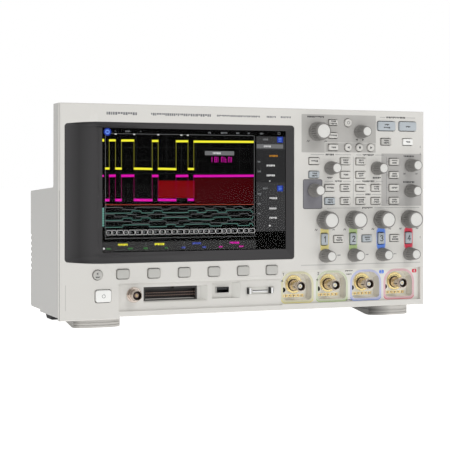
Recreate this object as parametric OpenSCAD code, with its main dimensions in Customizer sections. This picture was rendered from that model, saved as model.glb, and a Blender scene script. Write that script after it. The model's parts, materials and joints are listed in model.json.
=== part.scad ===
// Four-channel bench oscilloscope.
// X runs along the width, Y from the front panel to the rear, Z up from the feet.
// The origin is under the middle of the instrument, on the surface that it stands on.

/* [Body] */
// Width of the instrument
body_w = 381; // [378:1:390]
// Height from the feet to the top
body_h = 206; // [205:1:212]
// Overall depth, from the knob faces to the rear connectors
overall_d = 142; // [140:1:150]
// Depth of the thin upper section
upper_d = 24; // [23:0.5:26]
// Depth of the lower box
lower_d = 113.4; // [110:0.2:114]
// Height of the lower box above the feet's surface
lower_h = 129; // [127:0.5:130]
// Height of the feet
foot_h = 9.4; // [8:0.2:10]
// Wall of the front panel
panel_t = 3; // [2.5:0.1:3.2]
// Wall of the rear case
case_t = 2.5; // [2:0.1:3]
// How far the left end of the front panel sweeps back
sweep = 1.5; // [1:0.5:4]

/* [Display] */
// Middle of the screen, left of centre
screen_x = -56.5; // [-57:0.25:-56]
// Middle of the screen, above the feet's surface
screen_z = 126.3; // [126:0.1:126.5]
// Visible width of the screen
screen_w = 186.5; // [182:0.5:187]
// Visible height of the screen
screen_h = 115.2; // [112:0.2:115.6]

/* [Knobs] */
// How far the knob faces stand in front of the panel
knob_out = 15.5; // [14:0.5:16]
// Radius of a large knob at its base
knob_big_r = 9.3; // [9:0.1:9.5]
// Radius of a small knob at its base
knob_small_r = 6.8; // [6:0.1:7]
// Radius of a knob's shaft
shaft_r = 3; // [2.8:0.1:3]

/* [Keys] */
// How far a key stands in front of the panel
key_out = 1.8; // [1.5:0.1:2.2]
// Gap round a key in its hole
key_gap = 0.3; // [0.25:0.05:0.4]
// How far a key can be pressed
key_travel = 1; // [0.6:0.1:1]

/* [Inputs] */
// Distance between input connectors
input_pitch = 38.1; // [38:0.1:38.2]
// Radius of a connector's shell
bnc_r = 4.8; // [4.75:0.05:4.85]

/* [Hidden] */
$fn = 32;
e = 0.01;
py = knob_out - overall_d / 2;          // plane of the front panel
side = body_w / 2;
bottom = foot_h;
case_back = py + lower_d;               // outside of the rear wall
rear_out = overall_d / 2 - case_back;   // how far the rear connectors stand out
seam_y = py + 8;                        // where the front panel ends
case_y = seam_y + 0.7;                  // where the rear case starts
upper_back = py + upper_d;
board_y = py + 7;                       // front of the keypad board
chassis_y = py + 15;
main_y = py + 30;                       // front of the main board
boards_t = 1.6;

// Columns and rows of the control panel
scale_x0 = 77.75;
scale_pitch = 31.75;
scale_z = 96.5;
position_z = 61.4;
channel_z = 77.6;
key_x = [65.5, 82.8, 100.1, 117.4, 134.7, 155.4];
key_z = [154.7, 141.4, 128.4, 115.3];
strip_z = 48.8;
softkey_x0 = -131;
softkey_pitch = 30.2;
band_z = 29.1;                          // middle of the lower inset band
window = [-70.85, 124, 230.3, 130.6];   // display window: middle x and z, width, height
taper = 1.9;                            // how much the window narrows at its left end, above and below
bay = [31, 186.5, 15, 47.6];            // input bay: left, right, bottom, top
bay_y = py + 4.3;
pocket = [31.6, 27, 9.5];                // width, height and depth of an input pocket
input_x0 = 49.6;
input_z = 32.2;
pocket_z = 30.9;

function scale_x(i) = scale_x0 + scale_pitch * i;
function input_x(i) = input_x0 + input_pitch * i;

// Knobs: name, x, z, base radius, face radius
knobs = concat(
    [["horizontal_scale_knob", 69, 183.8, knob_big_r, 7.8],
     ["horizontal_position_knob", 117, 184.3, knob_small_r, 5.0],
     ["entry_knob", 65.4, 125.8, knob_small_r, 5.0],
     ["trigger_level_knob", 83.6, 147.9, knob_small_r, 5.0],
     ["cursors_knob", 135.7, 147.9, knob_small_r, 5.0],
     ["source_scale_knob", 175, 151.1, knob_small_r, 5.0],
     ["source_position_knob", 174.6, 125.2, knob_small_r, 5.0]],
    [for (i = [0:3]) [str("vertical_scale_knob_", i + 1), scale_x(i), scale_z, knob_big_r, 7.8]],
    [for (i = [0:3]) [str("vertical_position_knob_", i + 1), scale_x(i), position_z, knob_small_r, 5.0]]);

// Keys that are one piece each: name, x, z, width, height, corner radius
single_keys = concat(
    [["power_key", -149.9, 29, 15.6, 11.8, 2],
     ["back_key", -155.3, 48.6, 9.5, 9.5, 4.74],
     ["run_stop_key", 146.7, 190.6, 20.8, 9.8, 2],
     ["single_key", 171.2, 190.7, 20.4, 9.8, 2],
     ["default_setup_key", 146.1, 174.8, 11.9, 7, 1],
     ["auto_scale_key", 171.2, 174.9, 11.9, 7, 1]],
    [for (i = [0:5]) [str("softkey_", i + 1), softkey_x0 + softkey_pitch * i, strip_z, 12.3, 9.2, 1.8]],
    [for (i = [0:3]) [str("channel_key_", i + 1), scale_x(i) - 0.6, channel_z, 7.7, 12.1, 1]]);

// Keys that share a node: x, z, width, height, corner radius
horizontal_layout = [
    [86.4, 193, 10.2, 5.8, 1], [86.4, 180.2, 10.2, 5.8, 1], [86.6, 168.4, 11.1, 6.6, 1],
    [103.1, 193.1, 8.4, 8.4, 4.19], [103.1, 168.6, 8.2, 8.2, 4.09],
    [115.9, 168.6, 8.2, 8.2, 4.09], [128.7, 168.6, 8.2, 8.2, 4.09]];
trigger_layout = [for (c = [0, 2], r = [0, 1]) [key_x[c], key_z[r], 11.6, 7.1, 1]];
menu_layout = concat(
    [for (c = [1:4], r = [2, 3]) [key_x[c], key_z[r], 11.6, 7.1, 1]],
    [for (r = [0, 1]) [key_x[3], key_z[r], 11.6, 7.1, 1]],
    [for (r = [0:3]) [key_x[5], key_z[r], 11.6, 7.1, 1]],
    [for (i = [0:2]) [scale_x(i) + 14.9, channel_z + 0.1, 11.5, 7.2, 1]]);
all_keys = concat([for (k = single_keys) [k[1], k[2], k[3], k[4], k[5]]],
                  horizontal_layout, trigger_layout, menu_layout);

fixed_nodes = [
    "front_panel", "rear_case", "display_surround", "touch_glass", "lcd_module", "chassis",
    "main_board", "keypad_board", "encoders", "power_supply", "fan_housing", "input_connectors",
    "input_bay", "bnc_connectors", "logic_connector", "usb_ports", "demo_terminals", "front_feet",
    "rear_feet", "mains_inlet", "option_cover", "case_screws", "fan_rotor", "handle",
    "tilt_leg_left", "tilt_leg_right", "horizontal_keys", "trigger_keys", "menu_keys"];

// ---- shared shapes ----

function arc(cx, cz, r, a, n = 4) = [for (i = [0:n]) let (t = a + 90 * i / n)
    [cx + r * cos(t), cz + r * sin(t)]];

// Outline of a rounded rectangle, with one radius for the bottom corners and one for the top
function outline(w, h, rb, rt) = concat(
    arc(w / 2 - rb, -h / 2 + rb, rb, -90), arc(w / 2 - rt, h / 2 - rt, rt, 0),
    arc(-w / 2 + rt, h / 2 - rt, rt, 90), arc(-w / 2 + rb, -h / 2 + rb, rb, 180));

module box(x, y, z) translate([x[0], y[0], z[0]]) cube([x[1] - x[0], y[1] - y[0], z[1] - z[0]]);

module along_y(x, z, y) translate([x, y[1], z]) rotate([90, 0, 0]) linear_extrude(y[1] - y[0]) children();

// Rounded plate facing the front
module plate(x, z, w, h, r, y) along_y(x, z, y) polygon(outline(w, h, r, r));

module rod_y(x, z, r, y, fn = 48) translate([x, y[0], z]) rotate([-90, 0, 0])
    cylinder(r = r, h = y[1] - y[0], $fn = fn);

module rod_x(y, z, r, x, fn = 48) translate([x[0], y, z]) rotate([0, 90, 0])
    cylinder(r = r, h = x[1] - x[0], $fn = fn);

// Display window drawn in by d; its upper and lower edges curve inwards over the last 38 mm on the left
function window_point(d, t, s) = [
    -window[2] / 2 + 3.2 + 35 * t,
    s * (window[3] / 2 - d - taper * pow(1 - t, 2))];
module window_plate(d, y) along_y(window[0], window[1], y) polygon(concat(
    arc(window[2] / 2 - 3, -window[3] / 2 + 3, 3 - d, -90),
    arc(window[2] / 2 - 3, window[3] / 2 - 3, 3 - d, 0),
    [for (i = [0:6]) window_point(d, 1 - i / 6, 1)],
    arc(-window[2] / 2 + 3, window[3] / 2 - 3 - taper, 3 - d, 90),
    arc(-window[2] / 2 + 3, -window[3] / 2 + 3 + taper, 3 - d, 180),
    [for (i = [0:6]) window_point(d, i / 6, -1)]));

module pocket_shape(w, h) polygon(outline(w, h, 3, 11));

// ---- housing ----

block_z = 7.2;  // underside of the lower left corner of the panel
sweep_x = -150;
sweep_run = side + sweep_x;
sweep_r = (sweep_run * sweep_run + sweep * sweep) / (2 * sweep);
// Front edge of the panel seen from above, d behind its face
function front_edge(d) = concat(
    [for (i = [0:8]) let (x = -side + sweep_run * i / 8)
        [x, py + d + sweep_r - sqrt(sweep_r * sweep_r - pow(sweep_x - x, 2))]],
    [[side, py + d]]);

// Slice of the front panel d behind its face, drawn in by inset at both ends and reaching back to y
module fascia(d, z, inset, y) translate([0, 0, z[0]]) linear_extrude(z[1] - z[0]) intersection() {
    polygon(concat(front_edge(d), [[side, y], [-side, y]]));
    translate([-side + inset, py - 1]) square([body_w - 2 * inset, 30]);
}

module front_panel() color([0.83, 0.82, 0.80]) difference() {
    union() {
        difference() {
            fascia(0, [bottom, body_h], 0, seam_y);
            fascia(panel_t, [bottom + panel_t, body_h - panel_t], panel_t, seam_y + 1);
        }
        fascia(0, [block_z, bottom + 1], 0, seam_y);
        box([-137, bay[0] - 2.9], [py + panel_t - e, py + 4.6], [12.4, 42]);
        box([bay[0] - 3, bay[1] + 1.2], [py + panel_t - e, bay_y - 0.1], [bay[2] - 2.5, bay[3] + 3]);
    }
    // The block under the panel is only at the left corner
    box([-134.5, side + 1], [py - 1, seam_y + 1], [0, bottom]);
    // Display window
    window_plate(0, [py - 1, py + 10]);
    // Lower inset band
    box([-134.9, bay[0] + 0.01], [py - 1, py + 2], [14.2, 39.9]);
    // Input bay
    box([bay[0], bay[1]], [py - 1, py + 10], [bay[2], bay[3]]);
    for (k = all_keys)
        plate(k[0], k[1], k[2] + 2 * key_gap, k[3] + 2 * key_gap, k[4] + key_gap, [py - 1, py + 10]);
    for (k = knobs) rod_y(k[1], k[2], shaft_r + 0.6, [py - 1, py + 10], 24);
    // Generator output, logic probe socket, USB socket and the two terminals
    rod_y(-119.7, band_z, 5, [py - 1, py + 10]);
    box([-110.2, -47.1], [py - 1, py + 10], [21.9, 35.9]);
    box([-41.6, -13.3], [py - 1, py + 10], [23, 37.9]);
    box([-5.4, 22.6], [py - 1, py + 10], [25.6, 32.6]);
}

louvre_z = [for (i = [0:6]) 48 + 5.4 * i];
fan_x = 120;
fan_z = 68;
inlet_x = -150;
inlet_z = 42;
cover_x = 10;
cover_z = 62;
port_x = -82;

module rear_case() color([0.74, 0.735, 0.72]) difference() {
    union() {
        difference() {
            box([-side, side], [case_y, upper_back], [bottom, body_h]);
            box([-side + case_t, side - case_t], [case_y - 1, upper_back - case_t],
                [bottom + case_t, body_h - case_t]);
            box([-side + case_t, side - case_t], [case_y - 1, upper_back + 1],
                [bottom + case_t, lower_h - case_t - 0.2]);
        }
        difference() {
            lower_shell(0);
            lower_shell(case_t);
        }
        // Handle pivot bosses
        for (s = [-1, 1])
            box(s > 0 ? [118, 121.6] : [-121.6, -118], [upper_back - e, upper_back + 11.5], [185, 197]);
    }
    for (z = louvre_z) {
        box([-side - 1, -side + 26], [case_back - case_t - 1, case_back + 1], [z, z + 2.4]);
        box([side - 26, side + 1], [case_back - case_t - 1, case_back + 1], [z, z + 2.4]);
    }
    for (s = [-1, 1]) rod_x(handle_y, handle_z, 2.55, s > 0 ? [117, 123] : [-123, -117]);
    // Fan grille, option slot, mains inlet and rear connectors
    for (i = [-5:5]) let (half = sqrt(28 * 28 - pow(5 * i, 2)))
        box([fan_x - half, fan_x + half], [case_back - 5, case_back + 1],
            [fan_z + 5 * i - 1.3, fan_z + 5 * i + 1.3]);
    box([cover_x - 52, cover_x + 52], [case_back - 5, case_back + 1], [cover_z - 19, cover_z + 19]);
    box([inlet_x - 14, inlet_x + 14], [case_back - 5, case_back + 1], [inlet_z - 10.2, inlet_z + 10.2]);
    for (z = [40, 66]) rod_y(port_x, z, 5, [case_back - 5, case_back + 1]);
    box([port_x - 7, port_x + 7], [case_back - 5, case_back + 1], [84, 91]);
    box([port_x - 6.5, port_x + 6.5], [case_back - 5, case_back + 1], [98, 109.5]);
    // Screw holes in the rear wall
    for (p = screw_places) rod_y(p[0], p[1], 1.8, [case_back - 6, case_back + 1], 24);
}

// Deep lower box with its sloping roof, filleted into the upper section, and the step under its rear part,
// shrunk by d on every wall
module lower_shell(d) rotate([90, 0, 90]) translate([0, 0, -side + d]) linear_extrude(body_w - 2 * d)
    polygon(concat([[upper_back - case_t - (d > 0 ? 1 : 0), bottom + d], [case_back - 39, bottom + d],
             [case_back - 37.5, bottom + 2.3 + d], [case_back - 3.2 - d / 2, bottom + 2.3 + d],
             [case_back - d, bottom + 5.5 + d / 2], [case_back - d, lower_h - 3.4 - d]],
            d > 0 ? [[upper_back - case_t - 1, lower_h - d]]
            : [[upper_back + 2.4, lower_h - 0.15], [upper_back + 0.7, lower_h + 0.7],
               [upper_back, lower_h + 2.5], [upper_back - case_t, lower_h + 2.5]]));

// ---- display ----

module display_surround() color([0.22, 0.22, 0.22]) difference() {
    union() {
        window_plate(0.2, [py + 0.6, py + 4]);
        // Flange behind the panel, on all but the swept left side
        box([sweep_x, 46.2], [py + panel_t + 0.3, py + 4], [window[1] - 67, window[1] + 67]);
    }
    box([-200, -170], [py - 1, py + 2.2], [40, 210]);
    plate(screen_x, screen_z, screen_w, screen_h, 0.5, [py - 1, py + 10]);
}

module touch_glass() color([0.05, 0.05, 0.06, 0.4])
    plate(screen_x, screen_z, screen_w + 8, screen_h + 8, 1, [py + 4.1, py + 5.2]);

module lcd_module() color([0.1, 0.1, 0.11]) {
    plate(screen_x, screen_z, screen_w + 12, screen_h + 12, 1, [py + 5.4, py + 12]);
    for (s = [-1, 1]) box([screen_x + s * 88 - 5, screen_x + s * 88 + 5], [py + 12, chassis_y], [120, 130]);
}

// ---- inside ----

module chassis() color([0.72, 0.73, 0.74]) difference() {
    union() {
        box([-182, 182], [chassis_y, chassis_y + 1.2], [54, 198]);
        box([-182, 182], [chassis_y + 1.2 - e, chassis_y + 3], [54, 55.2]);
        // Tray and its two side walls
        box([-182, 182], [py + 32, case_back - 14], [14.4, 15.6]);
        for (s = [-1, 1])
            box(s > 0 ? [180.8, 182] : [-182, -180.8], [chassis_y, case_back - 14], [14.4, 118]);
        // Pads that rest on the floor of the case
        for (x = [-165, -15, 150]) box([x, x + 16], [py + 56, py + 72], [bottom + case_t, 14.5]);
    }
    for (x = [-160:40:160]) rod_y(x, 190, 2.2, [chassis_y - 1, chassis_y + 4], 24);
}

module main_board() color([0.10, 0.35, 0.20]) {
    difference() {
        box([-70, 178], [main_y, main_y + boards_t], [17, 118]);
        for (x = [-64, 172], z = [23, 112]) rod_y(x, z, 1.7, [main_y - 1, main_y + 3], 24);
    }
    // Processor, acquisition chips and their heat sinks
    for (i = [0:3]) box([input_x(i) - 11, input_x(i) + 11], [main_y + boards_t - e, main_y + 4], [56, 78]);
    box([-50, -14], [main_y + boards_t - e, main_y + 5], [60, 96]);
    for (i = [0:5]) box([-49 + 6.4 * i, -46.6 + 6.4 * i], [main_y + 5 - e, main_y + 17], [61, 95]);
    for (i = [0:2]) box([4, 26], [main_y + boards_t - e, main_y + 3], [58 + 16 * i, 70 + 16 * i]);
}

module keypad_board() color([0.12, 0.38, 0.22]) {
    along_y(0, 0, [board_y, board_y + boards_t]) polygon([
        [187, 52], [187, 202], [52, 202], [52, 57.4], [-162, 57.4], [-162, 20.5],
        [-139, 20.5], [-139, 42.8], [30, 42.8], [30, 52]]);
    // Rubber dome sheet on the back of the keys, a dome under each
    for (k = all_keys) plate(k[0], k[1], min(k[2], 5), min(k[3], 5), 1, [board_y - 0.6, board_y]);
}

module encoders() color([0.35, 0.36, 0.38]) for (k = knobs) difference() {
    plate(k[1], k[2], 10.6, 10.6, 0.6, [py + 3.3, board_y]);
    rod_y(k[1], k[2], shaft_r + 0.05, [py + 2, board_y + 1]);
}

module power_supply() color([0.60, 0.61, 0.62]) {
    box([-172, -96], [py + 34, py + 35.6], [15.6, 112]);
    box([-168, -140], [py + 35.6 - e, py + 58], [60, 100]);
    box([-134, -104], [py + 35.6 - e, py + 62], [58, 92]);
    for (i = [0:2]) rod_y(-126 + 11 * i, 34, 4.5, [py + 35.6 - e, py + 60], 32);
    box([-166, -140], [py + 35.6 - e, py + 52], [22, 46]);
}

module fan_housing() color([0.12, 0.12, 0.13]) difference() {
    plate(fan_x, fan_z, 60, 60, 3, [case_back - case_t - 15.2, case_back - case_t - 0.2]);
    rod_y(fan_x, fan_z, 28, [case_back - case_t - 11.2, case_back], 64);
    difference() {
        rod_y(fan_x, fan_z, 28, [case_back - case_t - 20, case_back - 10], 64);
        rod_y(fan_x, fan_z, 12, [case_back - case_t - 21, case_back], 48);
        for (a = [0, 60, 120]) translate([fan_x, 0, fan_z]) rotate([0, a + 15, 0])
            box([-30, 30], [case_back - case_t - 21, case_back - case_t - 12.7], [-1.5, 1.5]);
    }
    rod_y(fan_x, fan_z, 1.55, [case_back - case_t - 16, case_back], 32);
    for (sx = [-1, 1], sz = [-1, 1])
        rod_y(fan_x + sx * 25, fan_z + sz * 25, 2, [case_back - 20, case_back], 24);
}

module fan_rotor() color([0.16, 0.16, 0.17]) {
    rod_y(fan_x, fan_z, 11, [case_back - case_t - 10.6, case_back - case_t - 2], 48);
    rod_y(fan_x, fan_z, 1.5, [case_back - case_t - 14, case_back - case_t - 9], 32);
    for (i = [0:6]) translate([fan_x, 0, fan_z]) rotate([0, 360 / 7 * i, 0])
        translate([10, case_back - case_t - 6.4, 0]) rotate([35, 0, 0]) box([0, 16.6], [-0.7, 0.7], [-5, 5]);
}

// ---- connectors ----

// Bayonet jack pointing along -Y: plain front of the shell, neck with two lugs, insulator and contact
module bnc(x, z, y_front, y_back, hex) {
    difference() {
        union() {
            rod_y(x, z, bnc_r, [y_front, y_front + 3.2]);
            rod_y(x, z, bnc_r - 0.25, [y_front + 3.2 - e, y_back]);
            along_y(x, z, hex) circle(r = 7, $fn = 6);
            rod_y(x, z, 0.95, [y_front + 3.4, y_front + 5.3], 24);
            translate([x, y_front + 4.4, z]) cylinder(r = 0.95, h = 11.4, center = true, $fn = 24);
        }
        rod_y(x, z, 4.1, [y_front - 1, y_front + 9]);
    }
    difference() {
        rod_y(x, z, 2.3, [y_front + 1.6, y_front + 9.1]);
        rod_y(x, z, 0.55, [y_front + 1, y_front + 7], 16);
    }
}

input_floor = bay_y + pocket[2];

module input_connectors() color([0.85, 0.70, 0.35]) for (i = [0:3]) {
    bnc(input_x(i), input_z, py - 4.5, py + 24, [input_floor + 1.3, input_floor + 3.7]);
    rod_y(input_x(i), input_z + 0.9, 9.8, [input_floor - 0.8, input_floor], 64);
    rod_y(input_x(i), input_z, 5.6, [input_floor - 4, input_floor]);
    box([input_x(i) - 14, input_x(i) + 14], [py + 19, main_y], [20, 46]);
    // Row of contact pads for the probe, on one strip
    box([input_x(i) - 12, input_x(i) + 12], [input_floor - 0.3, input_floor], [input_z - 12, input_z - 8.8]);
    box([input_x(i) - 3, input_x(i) + 3], [input_floor - 0.3, input_floor], [input_z - 10, input_z - 7.7]);
    for (a = [-4:4])
        rod_y(input_x(i) + 2.6 * a, input_z - 10.5, 0.9, [input_floor - 0.7, input_floor - 0.2], 16);
}

module input_bay() color([0.80, 0.79, 0.77]) difference() {
    union() {
        box([bay[0] - 2.8, bay[1] + 0.9], [bay_y, bay_y + 1.4], [bay[2] - 2.3, bay[3] + 2.8]);
        for (i = [0:3]) along_y(input_x(i), pocket_z, [bay_y, input_floor + 1.1])
            pocket_shape(pocket[0] + 2.4, pocket[1] + 2.4);
    }
    for (i = [0:3]) {
        along_y(input_x(i), pocket_z, [bay_y - 1, input_floor]) pocket_shape(pocket[0], pocket[1]);
        rod_y(input_x(i), input_z, bnc_r + 0.1, [bay_y - 1, input_floor + 3]);
        // Hole beside the flange for the probe's locating pin
        rod_y(input_x(i) - 10.8, pocket_z - 3.3, 2.2, [input_floor - 1, input_floor + 3], 24);
    }
}

module bnc_connectors() color([0.78, 0.77, 0.75]) {
    bnc(-119.7, band_z, py - 8.5, py + 12, [py + 4.7, py + 7.2]);
    for (z = [40, 66]) mirror([0, 1, 0])
        bnc(port_x, z, -case_back - rear_out, -case_back + 12, [-case_back - 2.4, -case_back - 0.1]);
}

module logic_connector() color([0.20, 0.19, 0.18]) {
    difference() {
        box([-110.1, -56.8], [py + 2.4, py + 13], [22.1, 35.7]);
        box([-108.4, -58.4], [py + 1, py + 10.5], [24, 33.8]);
        box([-86, -80], [py + 1, py + 8], [33, 36]);
    }
    for (i = [0:19], r = [0, 1]) box([-107 + 2.54 * i - 0.32, -107 + 2.54 * i + 0.32], [py + 4.5, py + 10.6],
        [27.3 + 2.54 * r, 27.94 + 2.54 * r]);
    // Pale end wall of the recess
    box([-56.7, -47.2], [py + 4.2, py + 6.4], [22, 35.8]);
}

module usb_socket(x, z, w, h, y0, y1) {
    difference() {
        box([x - w / 2, x + w / 2], [y0, y1], [z - h / 2, z + h / 2]);
        box([x - w / 2 + 0.4, x + w / 2 - 0.4], [y0 - 1, y1 - 2], [z - h / 2 + 0.4, z + h / 2 - 0.4]);
    }
    box([x - w / 2 + 1.2, x + w / 2 - 1.2], [y0 + 1, y1 - 1.9], [z + h * 0.02, z + h * 0.02 + h * 0.3]);
}

module usb_ports() color([0.66, 0.66, 0.66]) {
    difference() {
        box([-41.5, -13.4], [py + 5, py + 6.4], [23.1, 37.8]);
        box([-36.75, -23.45], [py + 4, py + 8], [27.85, 33.95]);
    }
    usb_socket(-30.1, 30.9, 13.2, 6, py + 3, py + 17);
    mirror([0, 1, 0]) {
        usb_socket(port_x, 87.5, 13.2, 6, -case_back - 0.8, -case_back + 14);
        usb_socket(port_x, 103.7, 12, 10.6, -case_back - 0.8, -case_back + 14);
    }
}

module demo_terminals() color([0.80, 0.79, 0.76]) {
    difference() {
        box([-5.3, 22.5], [py + 3.2, py + 5.2], [25.7, 32.5]);
        box([0.6, 16.6], [py + 2, py + 4.4], [28.3, 29.3]);
    }
    for (x = [-2.9, 20.1]) difference() {
        box([x - 1.6, x + 1.6], [py - 2.2, py + 3.2], [26.4, 31.8]);
        box([x - 2, x + 2], [py - 1.2, py + 1.4], [27.6, 30.6]);
    }
}

module mains_inlet() color([0.10, 0.10, 0.11]) difference() {
    union() {
        plate(inlet_x, inlet_z, 31, 24, 2, [case_back + 0.1, case_back + 2.4]);
        box([inlet_x - 13.8, inlet_x + 13.8], [case_back - 22, case_back + 0.2],
            [inlet_z - 10, inlet_z + 10]);
    }
    difference() {
        box([inlet_x - 12, inlet_x + 12], [case_back - 17, case_back + 3], [inlet_z - 7.5, inlet_z + 7.5]);
        for (p = [[-7, -0.5], [0, 3], [7, -0.5]])
            box([inlet_x + p[0] - 1, inlet_x + p[0] + 1], [case_back - 18, case_back - 3],
                [inlet_z + p[1] - 2, inlet_z + p[1] + 2]);
    }
}

module option_cover() color([0.74, 0.735, 0.72]) {
    plate(cover_x, cover_z, 112, 46, 2, [case_back + 0.1, case_back + 1.6]);
    box([cover_x - 51.6, cover_x + 51.6], [case_back - 4, case_back + 0.2],
        [cover_z - 18.6, cover_z + 18.6]);
}

screw_places = [[-180, 20], [180, 20], [-180, 116], [180, 116], [-50, 116], [50, 20]];

module case_screws() color([0.45, 0.45, 0.46]) for (p = screw_places) difference() {
    union() {
        rod_y(p[0], p[1], 3, [case_back + 0.05, case_back + 2], 32);
        rod_y(p[0], p[1], 1.5, [case_back - 9, case_back + 0.1], 24);
    }
    along_y(p[0], p[1], [case_back + 1, case_back + 3]) circle(r = 1.4, $fn = 6);
}

// ---- feet and handle ----

foot_x = [-153.5, 153.5];
foot_half = 22.2;
leg_y = py + 12;
leg_z = 3.4;
leg_len = 29;

foot_top = bottom - 0.1;
// Side profile of a foot whose front part is h high: flat below, rising to the case behind
module foot_profile(h) polygon([
    [py + 1.5, h], [py + 1.2, 0.8], [py + 2, 0], [py + 14, 0], [py + 46, 4.6], [py + 46, foot_top],
    [seam_y + 0.4, foot_top], [seam_y + 0.4, h]]);

// Foot seen from above, drawn in by d: a curved front and straight sides
module foot_plan(d) polygon(concat(
    [for (i = [-8:8]) [(foot_half - d) * i / 8, py + 1.2 + d + 10 * (1 - sqrt(1 - pow(0.97 * i / 8, 2)))]],
    [[foot_half - d, py + 47], [-foot_half + d, py + 47]]));

module front_feet() color([0.70, 0.69, 0.67]) for (i = [0, 1]) translate([foot_x[i], 0, 0]) {
    h = i == 0 ? block_z - 0.1 : foot_top;
    difference() {
        intersection() {
            rotate([90, 0, 90]) translate([0, 0, -foot_half]) linear_extrude(2 * foot_half) foot_profile(h);
            linear_extrude(20) foot_plan(0);
        }
        translate([0, 0, -1]) linear_extrude(h) foot_plan(2.4);
        box([-foot_half + 2.4, foot_half - 2.4], [seam_y + 3, py + 50], [-1, foot_top - 1]);
        rod_x(leg_y, leg_z, 1.55, [-foot_half + 1.2, foot_half - 1.2], 32);
        // Ribs round the curved front
        for (z = [1.9, 4.4]) translate([0, 0, z]) linear_extrude(0.8) difference() {
            translate([-30, py]) square([60, 9]);
            foot_plan(0.7);
        }
    }
}

module tilt_leg(x) color([0.68, 0.67, 0.65]) translate([x, leg_y, leg_z]) {
    rod_x(0, 0, 1.5, [-foot_half + 1.5, foot_half - 1.5], 32);
    rotate([6, 0, 0]) {
        rod_x(0, 0, 2.1, [-foot_half + 4.6, foot_half - 4.6], 32);
        box([-foot_half + 4.6, foot_half - 4.6], [0, leg_len], [-1.6, -0.1]);
        box([-foot_half + 8, foot_half - 8], [leg_len - 3, leg_len], [-1.7, 0.6]);
    }
}

module rear_feet() color([0.12, 0.12, 0.12]) for (s = [-1, 1])
    translate([s * 164, 0, 0]) difference() {
        hull() {
            box([-12.5, 12.5], [py + 84, py + 104.5], [0, 1]);
            box([-15, 15], [py + 81, py + 107], [bottom + 1.2, bottom + 2.2]);
        }
        for (y = [87, 93.5, 100]) box([-14, 14], [py + y, py + y + 1.2], [-1, 0.8]);
    }

handle_y = upper_back + 6;
handle_z = 191;
handle_drop = 46;

module handle() color([0.60, 0.60, 0.59]) {
    for (s = [-1, 1]) {
        rod_x(handle_y, handle_z, 2.5, s > 0 ? [118.6, 126] : [-126, -118.6], 32);
        rod_x(handle_y, handle_z, 5, s > 0 ? [122.2, 130] : [-130, -122.2], 32);
        box(s > 0 ? [122.2, 130] : [-130, -122.2], [handle_y - 4, handle_y + 4],
            [handle_z - handle_drop, handle_z]);
    }
    plate(0, handle_z - handle_drop, 260, 11, 4, [handle_y - 4.5, handle_y + 4.5]);
}

// ---- controls ----

module knob(k) color([0.45, 0.45, 0.44]) translate([k[1], py - knob_out, k[2]]) rotate([-90, 0, 0]) {
    rotate_extrude($fn = 48) polygon([
        [0, 0], [k[4] - 0.6, 0], [k[4], 0.6], [k[3] - 0.9, knob_out - 4], [k[3], knob_out - 2.4],
        [k[3], knob_out - 0.6], [0, knob_out - 0.6]]);
    translate([0, 0, 2]) cylinder(r = shaft_r, h = knob_out + 4.6, $fn = 48);
}

// Cap that passes through the panel, and the flange that keeps it in, a press in front of the domes
module key(k) {
    plate(k[0], k[1], k[2], k[3], k[4], [py - key_out, py + panel_t + 0.4]);
    plate(k[0], k[1], k[2] + 2, k[3] + 2, k[4], [py + panel_t + 0.3, board_y - 1.6 - key_travel]);
}

module named_key(k) color([0.72, 0.71, 0.69]) key([k[1], k[2], k[3], k[4], k[5]]);
module horizontal_keys() color([0.78, 0.77, 0.75]) for (k = horizontal_layout) key(k);
module trigger_keys() color([0.78, 0.77, 0.75]) for (k = trigger_layout) key(k);
module menu_keys() color([0.78, 0.77, 0.75]) for (k = menu_layout) key(k);

front_panel();
rear_case();
display_surround();
touch_glass();
lcd_module();
chassis();
main_board();
keypad_board();
encoders();
power_supply();
fan_housing();
input_connectors();
input_bay();
bnc_connectors();
logic_connector();
usb_ports();
demo_terminals();
front_feet();
rear_feet();
mains_inlet();
option_cover();
case_screws();
fan_rotor();
handle();
tilt_leg(foot_x[0]);  // tilt_leg_left
tilt_leg(foot_x[1]);  // tilt_leg_right
horizontal_keys();
trigger_keys();
menu_keys();
for (k = knobs) knob(k);
for (k = single_keys) named_key(k);
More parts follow.
